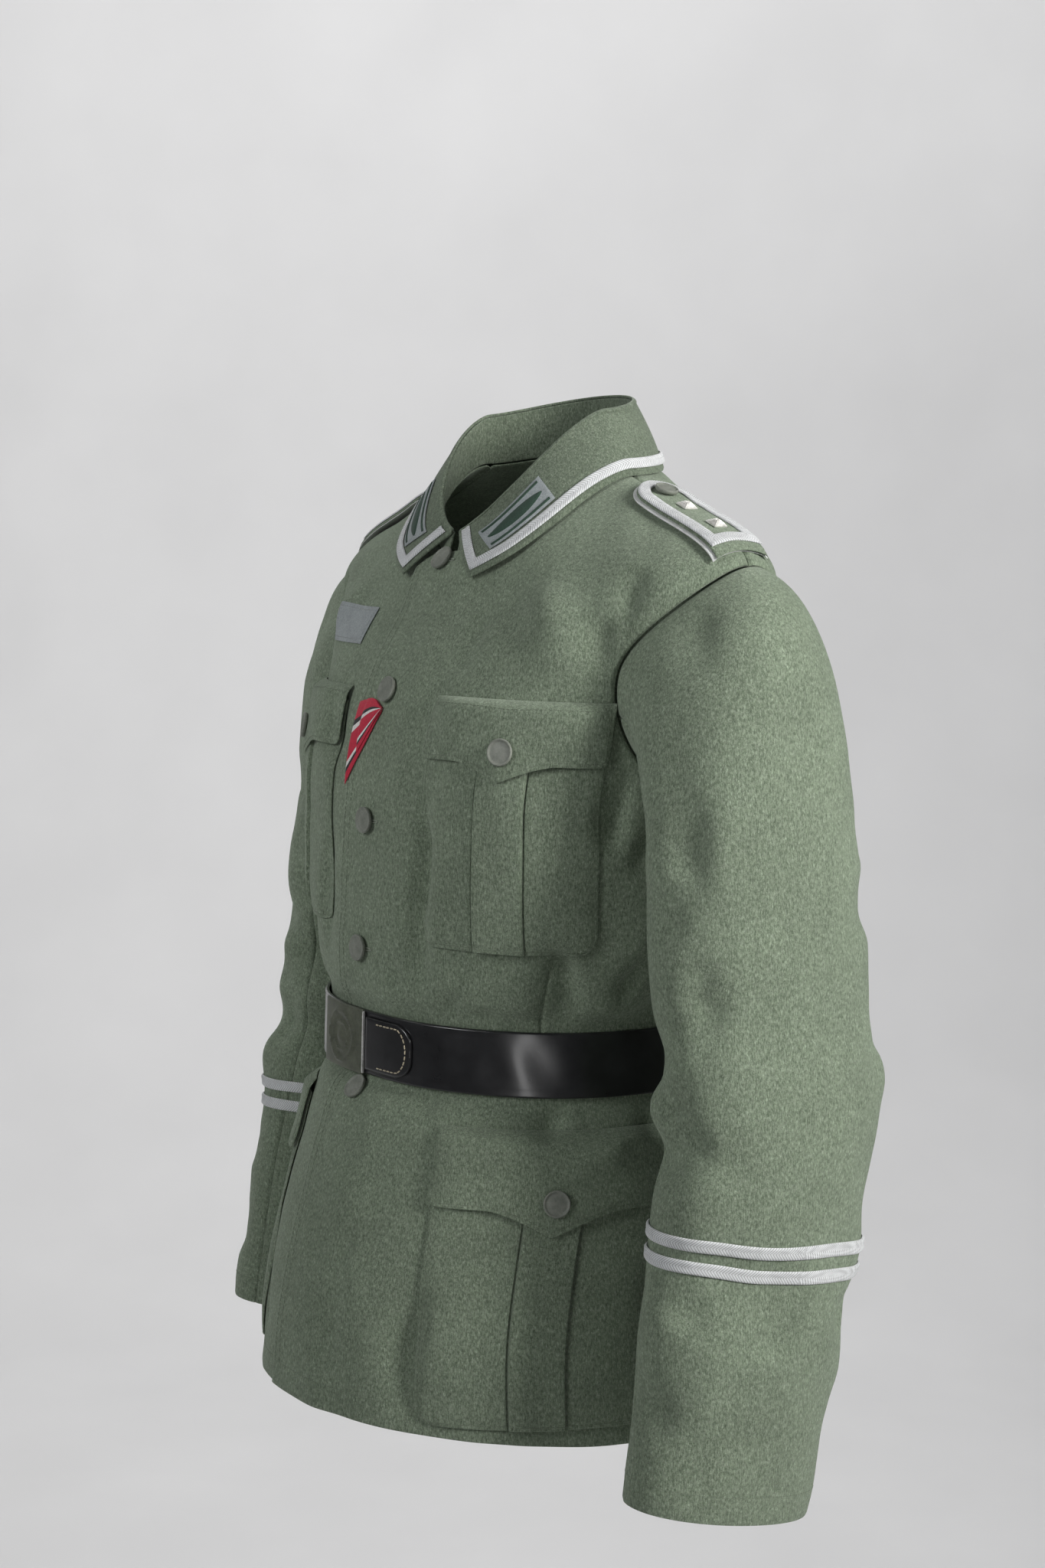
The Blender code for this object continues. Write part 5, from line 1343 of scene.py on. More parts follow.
def collar_patch_grid(side, turns, low, high, count):
    """(turn, share) grid on the fall between two heights above its lower edge."""
    lengths = fall_length(turns)
    heights = (low + (high - low) * np.linspace(0, 1, count))[:, None]
    where = turns if side > 0 else 360.0 - turns
    grid = 1 - heights / lengths
    return np.broadcast_to(where, grid.shape), grid


def collar_bar(side, node, number, bar, sit):
    """One raised plain bar on a collar patch, that starts this far out from the fall."""
    low, high, first, last, swell = bar
    start, end = COLLAR_PATCH_TURNS[0], COLLAR_PATCH_TURNS[-1]
    turns = start + (end - start) * np.linspace(first, last, BAR_COLUMNS)
    middle, half = 0.5 * (low + high), 0.5 * (high - low)
    width = half * (1 - swell * np.linspace(-1, 1, BAR_COLUMNS) ** 2) ** 0.7
    rows = np.linspace(-1, 1, 7)[:, None]
    heights = COLLAR_PATCH_LOW + COLLAR_PATCH_HEIGHT * middle + rows * width * COLLAR_PATCH_HEIGHT
    share = 1 - heights / fall_length(turns)
    where = np.broadcast_to(turns if side > 0 else 360.0 - turns, heights.shape)
    normal = fall_normal(where)
    lift = fall_wave(where, share) + sit
    dome = BAR_RISE * np.sqrt(np.clip(1 - rows**2, 0, 1)) * np.ones_like(share)
    low_face = fall_point(where, share) + normal * (lift - BAR_SINK)[..., None]
    top_face = fall_point(where, share) + normal * (lift + dome)[..., None]
    cloth_shell(f"{node}_bar_{number + 1}", top_face, low_face, FINISHES["bar"], None, rim=0)


def collar_patch(side):
    """A plain cloth patch at the front end of the fall, with three plain bars."""
    node = f"{side_name(side)}_collar_patch"
    start, end = COLLAR_PATCH_TURNS[0], COLLAR_PATCH_TURNS[-1]
    turns = start + (end - start) * both_ends(COLLAR_PATCH_LENGTH, COLLAR_PATCH_STEP, COLLAR_PATCH_EDGE)
    top = COLLAR_PATCH_LOW + COLLAR_PATCH_HEIGHT
    where, grid = collar_patch_grid(side, turns, COLLAR_PATCH_LOW, top, COLLAR_PATCH_ROWS)
    sit = WALL + REST_GAP * 0.6
    normal = fall_normal(where)
    base = fall_point(where, grid) + normal * (fall_wave(where, grid) + sit)[..., None]
    item = cloth_shell(f"{node}_felt", base + normal * THIN_WALL, base, FINISHES["patch"], [node])
    for number, bar in enumerate(COLLAR_BARS[1:]):
        collar_bar(side, node, number, bar, sit + THIN_WALL)


# Pockets

def scallop(share):
    """How far a flap's edge has dropped to its point, for share -1 to 1 across the flap."""
    return np.clip(1 - np.abs(share) / 0.52, 0, 1) ** 1.4


POCKET_GRIDS = {}


def on_pocket(row, share, z, width):
    """(turn, level) of places on a pocket, kept between the two sides."""
    centre, top_z, lean = row[1], row[3], row[8]
    across = centre + lean * (top_z - z) + share * width / 2
    return place(across, z)


def pleat_height(share, pleat_share):
    """Box pleat: raised between its two folds, with a dip just outside each one."""
    from_fold = (np.abs(share) - pleat_share) / PLEAT_EDGE
    raised = PLEAT_LIFT / (1 + np.exp(np.clip(from_fold * 6, -30, 30)))
    return raised - PLEAT_DIP * hump(from_fold - 0.7, 0.45)


def round_corner(shares_past):
    """How far a rounded corner has risen, from 0 where it starts to 1 at its end."""
    return 1 - np.sqrt(1 - np.clip(shares_past, 0, 1) ** 2)


def pocket_bag(side, row):
    """Pocket bag with a box pleat and its two lower corners rounded."""
    label, _, width, top_z, bottom_z, _, _, _, _, pleat, puff = row
    node = f"{side_name(side)}_{label}_pocket"
    pleat_share = pleat / width
    half = dense_shares(width / 2, POCKET_STEP, (), FINE_EDGE[::-1])
    folds = pleat_share + PLEAT_EDGE * np.array([-0.9, -0.5, -0.2, 0.2, 0.5, 0.9, 1.4])
    half = np.sort(np.concatenate([half[np.abs(half - pleat_share) > PLEAT_EDGE * 1.5], folds]))
    shares = np.concatenate([-half[::-1], half[half > 0]])
    high_z = top_z - POCKET_BELOW_FLAP
    heights = bottom_z + (high_z - bottom_z) * dense_shares(high_z - bottom_z, POCKET_STEP, EDGE_STEPS, ())
    share, z = np.broadcast_arrays(shares[None, :], heights[:, None])
    corner = round_corner(1 - (z - bottom_z) / POCKET_CORNER)
    round_in = 1 - (2 * POCKET_CORNER / width) * corner * np.abs(share) ** 3
    turns, levels = on_pocket(row, share * round_in, z, width)
    base = worn(side, turns, levels, 0.0)
    roll = seam_roll(base, POCKET_ROLL, 0, POCKET_ROLL, POCKET_ROLL)
    up, _, left, right = edge_distances(base)
    quilt = STITCH_SINK * hump(np.minimum(np.minimum(up, left), right) - POCKET_STITCH, STITCH_SINK_WIDTH)
    rise = np.clip((z - bottom_z) / POCKET_FULL_HEIGHT, 0, 1)
    low = POCKET_SIT + puff * (1 - share**4) * (0.25 + 0.75 * rise)
    lift = low + WALL + pleat_height(share, pleat_share) - roll - quilt
    outer = worn(side, turns, levels, lift)
    inner = worn(side, turns, levels, np.minimum(low, lift - POCKET_LEAST_WALL))
    item = cloth_shell(f"{node}_cloth", outer, inner, FINISHES["wool"], [node])
    torso_base(side * turns, levels)
    POCKET_GRIDS[node] = outer


def pocket_flap(side, row):
    """Pointed flap that lies over the bag's top, with a scalloped lower edge."""
    label, _, width, top_z, _, flap_z, point_z, _, _, _, puff = row
    name = f"{side_name(side)}_{label}"
    shares = 2 * both_ends(width, POCKET_STEP, FINE_EDGE) - 1
    down = both_ends(top_z - flap_z, POCKET_STEP, FINE_EDGE)[:, None]
    corner = round_corner((np.abs(shares) - FLAP_CORNER_START) / (1 - FLAP_CORNER_START))
    edge_z = flap_z + (point_z - flap_z) * scallop(shares) + FLAP_CORNER * corner
    z = top_z + (edge_z - top_z) * down
    share = np.broadcast_to(shares, z.shape)
    turns, levels = on_pocket(row, share, z, width + 2 * FLAP_OVERHANG)
    base = worn(side, turns, levels, 0.0)
    roll = seam_roll(base, FLAP_TOP_ROLL, POCKET_ROLL, POCKET_ROLL, POCKET_ROLL)
    up, below, left, right = edge_distances(base)
    round_edge = hump(np.minimum(np.minimum(below, left), right) - POCKET_STITCH, STITCH_SINK_WIDTH)
    quilt = STITCH_SINK * (round_edge + hump(up - FLAP_TOP_STITCH, STITCH_SINK_WIDTH))
    inward = 1 - share**4
    cover = POCKET_SIT + WALL + FLAP_CLEARANCE + (PLEAT_RISE + puff) * inward
    low = REST_GAP + np.clip(down / FLAP_RISE_SHARE, 0, 1) * cover + FLAP_STAND * inward * down**2
    curl = FLAP_CURL * np.clip(1 - below / FLAP_CURL_REACH, 0, 1) ** 2 * np.sin(5.0 * share + side)
    outer = worn(side, turns, levels, low + WALL + curl - roll - quilt)
    inner = worn(side, turns, levels, low + curl)
    item = cloth_shell(f"{name}_flap_cloth", outer, inner, FINISHES["wool"], [f"{name}_flap"])
    torso_base(side * turns, levels)
    POCKET_GRIDS[f"{name}_flap"] = outer


# Belt

def belt_surface(turn, share, lift):
    """Point outside the belt's path, from its lower edge at share 0 to its upper edge at 1."""
    turn, share, lift = np.broadcast_arrays(np.asarray(turn, float), np.asarray(share, float), lift)
    low, high = torso_base(turn, BELT_LOW), torso_base(turn, BELT_HIGH)
    fade = np.clip((np.abs(low[..., 0]) - BELT_FADE_START) / (BELT_FADE_END - BELT_FADE_START), 0, 1)
    in_front = np.cos(np.radians(turn)) > 0
    over = np.where(in_front, BELT_OVER_LAP * (1 - fade * fade * (3 - 2 * fade)), 0.0)
    normal = slope_normal(torso_base, turn, BELT_MIDDLE, *NORMAL_STEPS)
    return low + (high - low) * share[..., None] + normal * (REST_GAP + over + lift)[..., None]


def belt_band():
    """Leather band with soft edges, a creased line near each edge and slow bends along it."""
    turns = np.linspace(0, 360, BELT_FINE, endpoint=False)[None, :]
    shares = both_ends(BELT_WIDTH, BELT_STEP, BELT_EDGE_STEPS)[:, None]
    edge = np.minimum(shares, 1 - shares) * BELT_WIDTH
    line = BELT_LINE_DEPTH * hump(edge - BELT_LINE, BELT_LINE_WIDTH)
    bevel = BELT_BEVEL * (1 - np.clip(edge / BEVEL_WIDTH, 0, 1)) ** 2
    angle = np.radians(turns)
    bend = BELT_BEND * (np.sin(9 * angle + 0.6) * np.sin(4 * angle) + 0.5 * np.sin(23 * angle + 3 * shares))
    lift = BELT_WALL - line - bevel + bend * np.sin(np.pi * shares)
    outer, inner = belt_surface(turns, shares, lift), belt_surface(turns, shares, 0.0)
    cloth_shell("belt_band_leather", outer, inner, FINISHES["leather"], ["belt_band"], closed=True)


def roundel_relief(x, z):
    """Plain raised rings, a raised middle and a ring of dots on the buckle's plate."""
    ring = np.hypot(x, z)
    rings = sum(rise * hump(ring - radius, width) for radius, width, rise in ROUNDEL[1:])
    dots = np.cos(ROUNDEL_DOTS * np.arctan2(z, x)) * hump(ring - ROUNDEL_DOT_RADIUS, ROUNDEL_DOT_WIDTH)
    return rings + ROUNDEL_DOT_RISE * np.clip(dots, 0, 1)


def on_belt(name, node, across_from, across_to, margin, lift, finish, slot, round_end=0.0):
    """A curved plate or tab that lies on the belt, narrower than it by margin on each edge."""
    length = abs(across_to - across_from)
    across = across_from + (across_to - across_from) * both_ends(length, PLATE_STEP, PLATE_EDGE_STEPS)
    narrow = np.ones_like(across)
    if round_end:
        from_end = np.clip(np.abs(across_to - across), 0, round_end)
        bow = np.sqrt(np.clip(1 - ((round_end - from_end) / round_end) ** 2, 0, 1))
        narrow = TAB_TIP_SHARE + (1 - TAB_TIP_SHARE) * bow
    half = 0.5 - margin / BELT_WIDTH
    rows = 2 * both_ends(BELT_WIDTH, PLATE_STEP, PLATE_EDGE_STEPS)[:, None] - 1
    turns = turn_of_across(across[None, :], BELT_MIDDLE)
    turns, share = np.broadcast_arrays(turns, 0.5 + rows * half * narrow)
    plain = belt_surface(turns, share, 0.0)
    edges = np.minimum.reduce(edge_distances(plain))
    bevel = PLATE_BEVEL * (1 - np.clip(edges / BEVEL_WIDTH, 0, 1)) ** 2
    if slot == "buckle":
        bevel = bevel - roundel_relief(plain[..., 0] - PLATE_CENTRE, (share - 0.5) * BELT_WIDTH)
    outer = belt_surface(turns, share, lift + WALL - bevel)
    inner = belt_surface(turns, share, lift)
    return cloth_shell(name, outer, inner, finish, [node], rim=0.2)


def belt_fittings():
    """The end tab, the buckle's plate and the bare metal along the plate's edge."""
    above = BELT_WALL + REST_GAP
    plate_end = PLATE_CENTRE + PLATE_WIDTH / 2
    on_belt("belt_tab_leather", "belt_tab", TAB_START, TAB_END, TAB_MARGIN, above, FINISHES["leather"],
            "leather", round_end=TAB_ROUND_END)
    on_belt("buckle_plate_painted", "buckle_plate", plate_end, PLATE_CENTRE - PLATE_WIDTH / 2, -PLATE_MARGIN,
            above + PLATE_RISE, FINISHES["buckle"], "buckle")
    turns = turn_of_across(plate_end + np.array([BARE_EDGE_ACROSS]), BELT_MIDDLE)
    rows = np.linspace(0.01, 0.99, BARE_EDGE_ROWS)[:, None]
    outer = belt_surface(turns, rows, above + WALL + BARE_EDGE_RISE)
    inner = belt_surface(turns, rows, above)
    cloth_shell("buckle_bare_edge", outer, inner, FINISHES["bare"], None, rim=0.3)


# Shoulder straps

def strap_outline(grow):
    """(x, half width) along a strap, square at the sleeve and round at the collar end."""
    half = STRAP_HALF_WIDTH + grow
    inner_x = STRAP_OUTER_X - STRAP_LENGTH - grow
    stations = [(x, half) for x in np.linspace(STRAP_OUTER_X, inner_x + half, STRAP_STATIONS)]
    for angle in np.radians(np.linspace(0.0, STRAP_ROUND_TO, STRAP_STATIONS)[1:]):
        stations.append((inner_x + half - half * math.sin(angle), half * math.cos(angle)))
    return np.array(stations)


def strap_layer(side, name, grow, start, wall, finish):
    """The underlay or the strap itself, from its lift above the shoulder to its own wall."""
    stations = strap_outline(grow)
    shares = 2 * both_ends(2 * STRAP_HALF_WIDTH, STRAP_STEP, STRAP_EDGE_STEPS)[:, None] - 1
    x, y = np.broadcast_arrays(stations[:, 0], stations[:, 1] * shares)
    bevel = STRAP_BEVEL * np.abs(shares) ** 12
    mirror = np.array([float(side), 1.0, 1.0])
    inner = strap_point(x, y, start) * mirror
    outer = strap_point(x, y, start + wall - bevel) * mirror
    node = f"{side_name(side)}_shoulder_{name}"
    item = cloth_shell(f"{node}_cloth", outer, inner, FINISHES[finish], [node])


def strap_braid(side, lift):
    """A woven band that runs round the strap's edge as one closed frame."""
    half = STRAP_HALF_WIDTH - STRAP_BRAID_INSET
    middle_x = STRAP_OUTER_X - STRAP_LENGTH + STRAP_HALF_WIDTH
    turned = np.radians(np.linspace(0, 180, STRAP_TURN_POINTS)[1:-1])
    lines = []
    for share in braid_shares():
        inset = share * BRAID_WIDTH
        radius = half - inset
        end_x = STRAP_OUTER_X - STRAP_BRAID_END - inset
        line = [(x, -radius) for x in np.linspace(end_x, middle_x, STRAP_SIDE_POINTS)]
        line += [(middle_x - radius * math.sin(angle), -radius * math.cos(angle)) for angle in turned]
        line += [(x, radius) for x in np.linspace(middle_x, end_x, STRAP_SIDE_POINTS)]
        line += [(end_x, radius * step) for step in np.linspace(1, -1, STRAP_END_POINTS)[1:-1]]
        lines.append(line)
    x, y = np.moveaxis(np.array(lines), -1, 0)
    mirror = np.array([float(side), 1.0, 1.0])
    base = strap_point(x, y, lift)
    run = np.broadcast_to(run_along(base, 1)[:1], x.shape)
    across = np.broadcast_to(braid_shares()[:, None] * BRAID_WIDTH, x.shape)
    outer = strap_point(x, y, lift + BRAID_WALL + braid_relief(run, across, BRAID_WIDTH)) * mirror
    node = f"{side_name(side)}_shoulder_braid"
    cloth_shell(f"{node}_woven", outer, base * mirror, FINISHES["braid"], [node], closed=True,
                uv=braid_uv(run, braid_shares()[:, None]))


def shoulder_strap(side):
    """Underlay, strap, braid frame, two studs and a button on one shoulder."""
    label = side_name(side)
    strap_start = REST_GAP + UNDERLAY_WALL + STRAP_ON_UNDERLAY
    strap_layer(side, "underlay", STRAP_PIPING, REST_GAP, UNDERLAY_WALL, "piping")
    strap_layer(side, "strap", 0.0, strap_start, WALL, "wool")
    strap_braid(side, strap_start + WALL + STRAP_BRAID_LIFT)
    top = strap_start + WALL + STRAP_STUD_LIFT
    mirror = np.array([float(side), 1.0, 1.0])

    def on_strap(x):
        point = strap_point(x, 0.0, top)
        return point * mirror, (strap_point(x, 0.0, top + 0.01) - point) * mirror

    for name, x in PIP_PLACES:
        stud(f"{label}_pip_{name}", *on_strap(x), (0.0, 1.0, 0.0))
    button(f"{label}_shoulder_button", *on_strap(STRAP_BUTTON_X), STRAP_BUTTON_RADIUS)


# Buttons, studs and threads


def put_on(points, point, normal, up=(0.0, 0.0, 1.0)):
    """Moves points so that their Z is the surface's normal and their Y leans to up."""
    z_axis = Vector(normal).normalized()
    x_axis = Vector(up).cross(z_axis).normalized()
    turned = np.array([x_axis, z_axis.cross(x_axis), z_axis])
    return points @ turned + np.array(Vector(point))


def button(name, point, normal, radius):
    """A domed button with a soft rolled rim, turned about its own axis."""
    count = BUTTON_SEGMENTS
    angles = np.linspace(0, 2 * np.pi, count, endpoint=False)
    outs = column(BUTTON_PROFILE, "out")[1:-1, None]
    heights = BUTTON_HEIGHT * column(BUTTON_PROFILE, "high")
    x, y = radius * outs * np.cos(angles), radius * outs * np.sin(angles)
    rings = np.stack([x, y, np.broadcast_to(heights[1:-1, None], x.shape)], axis=-1)
    points = np.concatenate([[[0, 0, heights[0]]], rings.reshape(-1, 3), [[0, 0, heights[-1]]]])
    after = [(k + 1) % count for k in range(count)]
    faces = [(0, 1 + k, 1 + after[k]) for k in range(count)]
    for near in range(1, 1 + (len(rings) - 1) * count, count):
        far = near + count
        faces += [(near + k, far + k, far + after[k], near + after[k]) for k in range(count)]
    last = 1 + (len(rings) - 1) * count
    faces += [(len(points) - 1, last + after[k], last + k) for k in range(count)]
    points = put_on(points, point, normal)
    return make_mesh(f"{name}_painted", points, faces, FINISHES["button"], [name])


def stud(name, point, normal, up):
    """A square ridged stud: steps that rise to a small flat top, grooved along its sides."""
    corners = [(math.cos(angle), math.sin(angle)) for angle in math.pi / 4 + np.arange(5) * math.pi / 2]
    square = []
    for start, end in zip(corners[:-1], corners[1:]):
        for t in np.arange(STUD_EDGE_POINTS) / STUD_EDGE_POINTS:
            square.append([start[0] + (end[0] - start[0]) * t, start[1] + (end[1] - start[1]) * t])
    square = np.array(square) * PIP_SIZE / math.sqrt(2)
    count = len(square)
    groove = STUD_GROOVE * (np.arange(count) % STUD_EDGE_POINTS % 2)
    rows = []
    for share, high in STUD_PROFILE[1:]:
        z = PIP_HEIGHT * high - groove * (high > STUD_GROOVE_ABOVE)
        rows.append(np.column_stack([square * share, z]))
    faces = []
    for near in range(0, (len(rows) - 1) * count, count):
        for k in range(count):
            after = (k + 1) % count
            faces.append((near + k, near + after, near + count + after, near + count + k))
    faces.append(tuple(range((len(rows) - 1) * count, len(rows) * count)))
    faces.append(tuple(range(count))[::-1])
    points = put_on(np.concatenate(rows), point, normal, up)
    return make_mesh(f"{name}_silver", points, faces, FINISHES["pip"], [name], smooth_faces=False)


def at_run(values, run, place_at):
    """Values of a line's columns at one distance along it."""
    return np.array([np.interp(place_at, run, values[:, axis]) for axis in range(3)])


def thread(name, lines, finish, slot, length=STITCH_LENGTH, gap=STITCH_GAP, radius=STITCH_RADIUS):
    """Short rounded stitches along lines of points, each line with its normals, as one piece."""
    points, faces = [], []
    angles = [2 * math.pi * corner / THREAD_SIDES for corner in range(THREAD_SIDES)]
    for line, normals in lines:
        run = run_along(line[None], 1)[0]
        for number, start in enumerate(np.arange(gap, run[-1] - length, length + gap)):
            middle = start + length / 2 + THREAD_UNEVEN * math.sin(3.7 * number)
            here = at_run(line, run, middle)
            out = at_run(normals, run, middle)
            way = unit(at_run(line, run, middle + 0.001) - here)
            side = unit(np.cross(out, way))
            base = len(points)
            for along, size in THREAD_RINGS:
                centre = here + way * along * length / 2 + out * radius * (0.5 - 0.5 * abs(along))
                for angle in angles:
                    points.append(centre + (side * math.cos(angle) + out * math.sin(angle)) * radius * size)
            for near in range(base, base + 3 * THREAD_SIDES, THREAD_SIDES):
                far = near + THREAD_SIDES
                for corner in range(THREAD_SIDES):
                    after = (corner + 1) % THREAD_SIDES
                    faces.append((near + corner, near + after, far + after, far + corner))
            faces.append(tuple(range(base, base + THREAD_SIDES))[::-1])
            faces.append(tuple(range(base + 3 * THREAD_SIDES, base + 4 * THREAD_SIDES)))
    if points:
        make_mesh(name, np.array(points), faces, finish, None)


# Patch, ribbon and sewn lines

def breast_patch():
    """A plain pale cloth patch with a turned-in edge."""
    height = PATCH_HIGH_Z - PATCH_LOW_Z
    across = (both_ends(PATCH_WIDTH, PATCH_STEP, FINE_EDGE) - 0.5) * PATCH_WIDTH - PATCH_CENTRE
    rows = both_ends(height, PATCH_ROW_STEP, FINE_EDGE)[:, None]
    turns, levels = place(across, PATCH_LOW_Z + rows * height)
    base = worn(-1, turns, levels, REST_GAP)
    roll = seam_roll(base, PATCH_ROLL, PATCH_ROLL, PATCH_ROLL, PATCH_ROLL)
    outer = worn(-1, turns, levels, REST_GAP + THIN_WALL - roll)
    item = cloth_shell("breast_patch_felt", outer, base, FINISHES["patch"], ["breast_patch"])
    torso_base(-turns, levels)
    thread("breast_patch_stitches", [grid_edge_line(outer, STITCH_CELLS)], FINISHES["pale_thread"], "trim")


def ribbon():
    """A short folded ribbon of two plies from the second buttonhole to the front edge."""
    at = np.linspace(0, len(RIBBON) - 2, RIBBON_POINTS)
    across, high, low = (smooth(RIBBON, name, at) for name in ("across", "high_z", "low_z"))
    rows = np.linspace(0, 1, RIBBON_POINTS)[:, None]
    for ply, (reach, rise) in enumerate(RIBBON_PLIES[1:]):
        keep = slice(0, int(round(len(at) * reach)))
        top, bottom = high[keep], low[keep] + (high[keep] - low[keep]) * (0.10 if ply else 0.0)
        z = bottom + (top - bottom) * rows
        turns, levels = place(np.broadcast_to(across[keep], z.shape), z)
        puff = rise + RIBBON_PUFF * np.sin(np.pi * rows) * np.linspace(0, 1, z.shape[1])
        outer = worn(1, turns, levels, REST_GAP + THIN_WALL + puff)
        inner = worn(1, turns, levels, REST_GAP + puff * (0.9 if ply else 0.0))
        uv = np.stack([run_along(outer, 1), np.broadcast_to(rows, z.shape)], axis=-1).reshape(-1, 2)
        nodes = None if ply else ["ribbon"]
        item = cloth_shell(f"ribbon_ply_{ply + 1}", outer, inner, FINISHES["ribbon"], nodes, uv=uv)
        if not ply:
            torso_base(turns, levels)


def grid_line(grid, keys):
    """Points of a grid at some (row, column) keys, and the grid's normals there."""
    rows, columns = np.array(keys).T
    normals = unit(np.cross(np.gradient(grid, axis=1), np.gradient(grid, axis=0)))
    return grid[rows, columns], normals[rows, columns]


def grid_edge_line(grid, inset, top=True):
    """Line a few cells inside the edges of a grid whose rows run up; top=False leaves the top open."""
    rows, columns = grid.shape[0], grid.shape[1]
    keys = [(row, inset) for row in range(rows - 1 - inset, inset, -1)]
    keys += [(inset, column) for column in range(inset, columns - 1 - inset)]
    keys += [(row, columns - 1 - inset) for row in range(inset, rows - inset)]
    if top:
        keys += [(rows - 1 - inset, column) for column in range(columns - 2 - inset, inset, -1)]
    return grid_line(grid, keys)


def outward(line, normals):
    """Turns a line's normals so that they point away from the middle of the body."""
    away = line - np.array([0.0, 0.02, 0.0])
    sign = np.sign((normals * away * np.array([1.0, 1.0, 0.2])).sum(axis=-1).mean())
    return line, normals * sign


def sew_pockets(side):
    """Topstitching round each bag and flap, in two rows along a lower flap's top."""
    lines = []
    for row in POCKETS[1:]:
        name = f"{side_name(side)}_{row[0]}"
        lines.append(outward(*grid_edge_line(POCKET_GRIDS[f"{name}_pocket"], STITCH_CELLS, top=False)))
        flap = POCKET_GRIDS[f"{name}_flap"]
        rows, columns = flap.shape[:2]
        last_row, last_column = rows - 1 - STITCH_CELLS, columns - 1 - STITCH_CELLS
        keys = [(r, STITCH_CELLS) for r in range(2, last_row)]
        keys += [(last_row, c) for c in range(STITCH_CELLS, last_column)]
        keys += [(r, last_column) for r in range(last_row, 1, -1)]
        lines.append(outward(*grid_line(flap, keys)))
        for top_row in (3, 4) if row[0] == "lower" else (4,):
            lines.append(outward(*grid_line(flap, [(top_row, c) for c in range(2, columns - 2)])))
    thread(f"{side_name(side)}_pocket_stitches", lines, FINISHES["thread"], "wool")


def torso_line(side, turns, levels):
    """Points and normals of a line on the creased cloth."""
    return worn(side, turns, levels, 0.0), torso_normal(side * turns, levels)


def sew_panels(side):
    """Topstitching along the hem, the left front's edge, the back seam and the cuff."""
    label = side_name(side)
    lap = LAP if side > 0 else UNDERLAP
    first = float(lap_turn(lap - 0.004, LAP_AT_NECK, HEM_STITCH_LEVEL))
    lines = []
    for start, end in ((first, SIDE_TURN - 0.5), (SIDE_TURN + 0.5, 179.5)):
        hem = np.full(LINE_POINTS, HEM_STITCH_LEVEL)
        lines.append(torso_line(side, np.linspace(start, end, LINE_POINTS), hem))
    if side > 0:
        levels = np.concatenate([np.linspace(HEM_STITCH_LEVEL, BELT_LOW - 0.1, 300),
                                 np.linspace(BELT_HIGH + 0.1, NECK - 0.3, 500)])
        for inset in FRONT_STITCH_INSETS:
            lines.append(torso_line(side, lap_turn(LAP - inset, LAP_AT_NECK - inset * 0.4, levels), levels))
    for lower, upper in ((0.3, BELT_LOW - 0.1), (BELT_HIGH + 0.1, NECK - 0.4)):
        levels = np.linspace(lower, upper, LINE_POINTS)
        lines.append(torso_line(side, np.full(LINE_POINTS, 180.0 - BACK_STITCH_TURN), levels))
    thread(f"{label}_panel_stitches", lines, FINISHES["thread"], "wool")
    rows = np.full(CUFF_POINTS, CUFF_STITCH_ALONG)
    turns = np.linspace(0, 360, CUFF_POINTS)
    base = sleeve_worn(side, turns, rows, 0.0)
    normals = unit(sleeve_worn(side, turns, rows, 0.001) - base)
    thread(f"{label}_cuff_stitches", [(base, normals)], FINISHES["thread"], "wool")


def sew_tab():
    """Pale stitches in a U along the belt's tab."""
    shares = np.linspace(0, 1, TAB_POINTS)
    ends = TAB_END - TAB_SEWN_INSET
    half = 0.5 - (TAB_MARGIN + TAB_SEWN_MARGIN) / BELT_WIDTH
    straight = TAB_STITCH_START + (ends - TAB_STITCH_START - TAB_SEWN_BEND) * shares
    bend = ends - TAB_SEWN_BEND + TAB_SEWN_BEND * np.sin(np.pi * shares[1:-1])
    across = np.concatenate([straight, bend, straight[::-1]])
    side = np.full(TAB_POINTS, half)
    rows = np.concatenate([side, half * np.cos(np.pi * shares[1:-1]), -side])
    turns = turn_of_across(across, BELT_MIDDLE)
    lift = BELT_WALL + REST_GAP + WALL
    line = belt_surface(turns, 0.5 + rows, lift)
    normals = unit(belt_surface(turns, 0.5 + rows, lift + 0.001) - line)
    thread("belt_tab_stitches", [(line, normals)], FINISHES["cream_thread"], "leather", **TAB_STITCH)


def buttonhole(name, side, across, z, turned, lift):
    """A worked slit: close short stitches round a narrow loop; turned ones run upright."""
    angle = np.linspace(0, 2 * np.pi, 90)
    long_way, short_way = BUTTONHOLE_HALF * np.cos(angle), BUTTONHOLE_WIDE * np.sin(angle)
    step_across, step_z = (short_way, long_way) if turned else (long_way, short_way)
    turns, levels = place(across + step_across, z + step_z)
    line = worn(side, turns, levels, lift)
    normals = torso_normal(side * turns, levels)
    thread(name, [(line, normals)], FINISHES["buttonhole"], "wool", **BUTTONHOLE_STITCH)


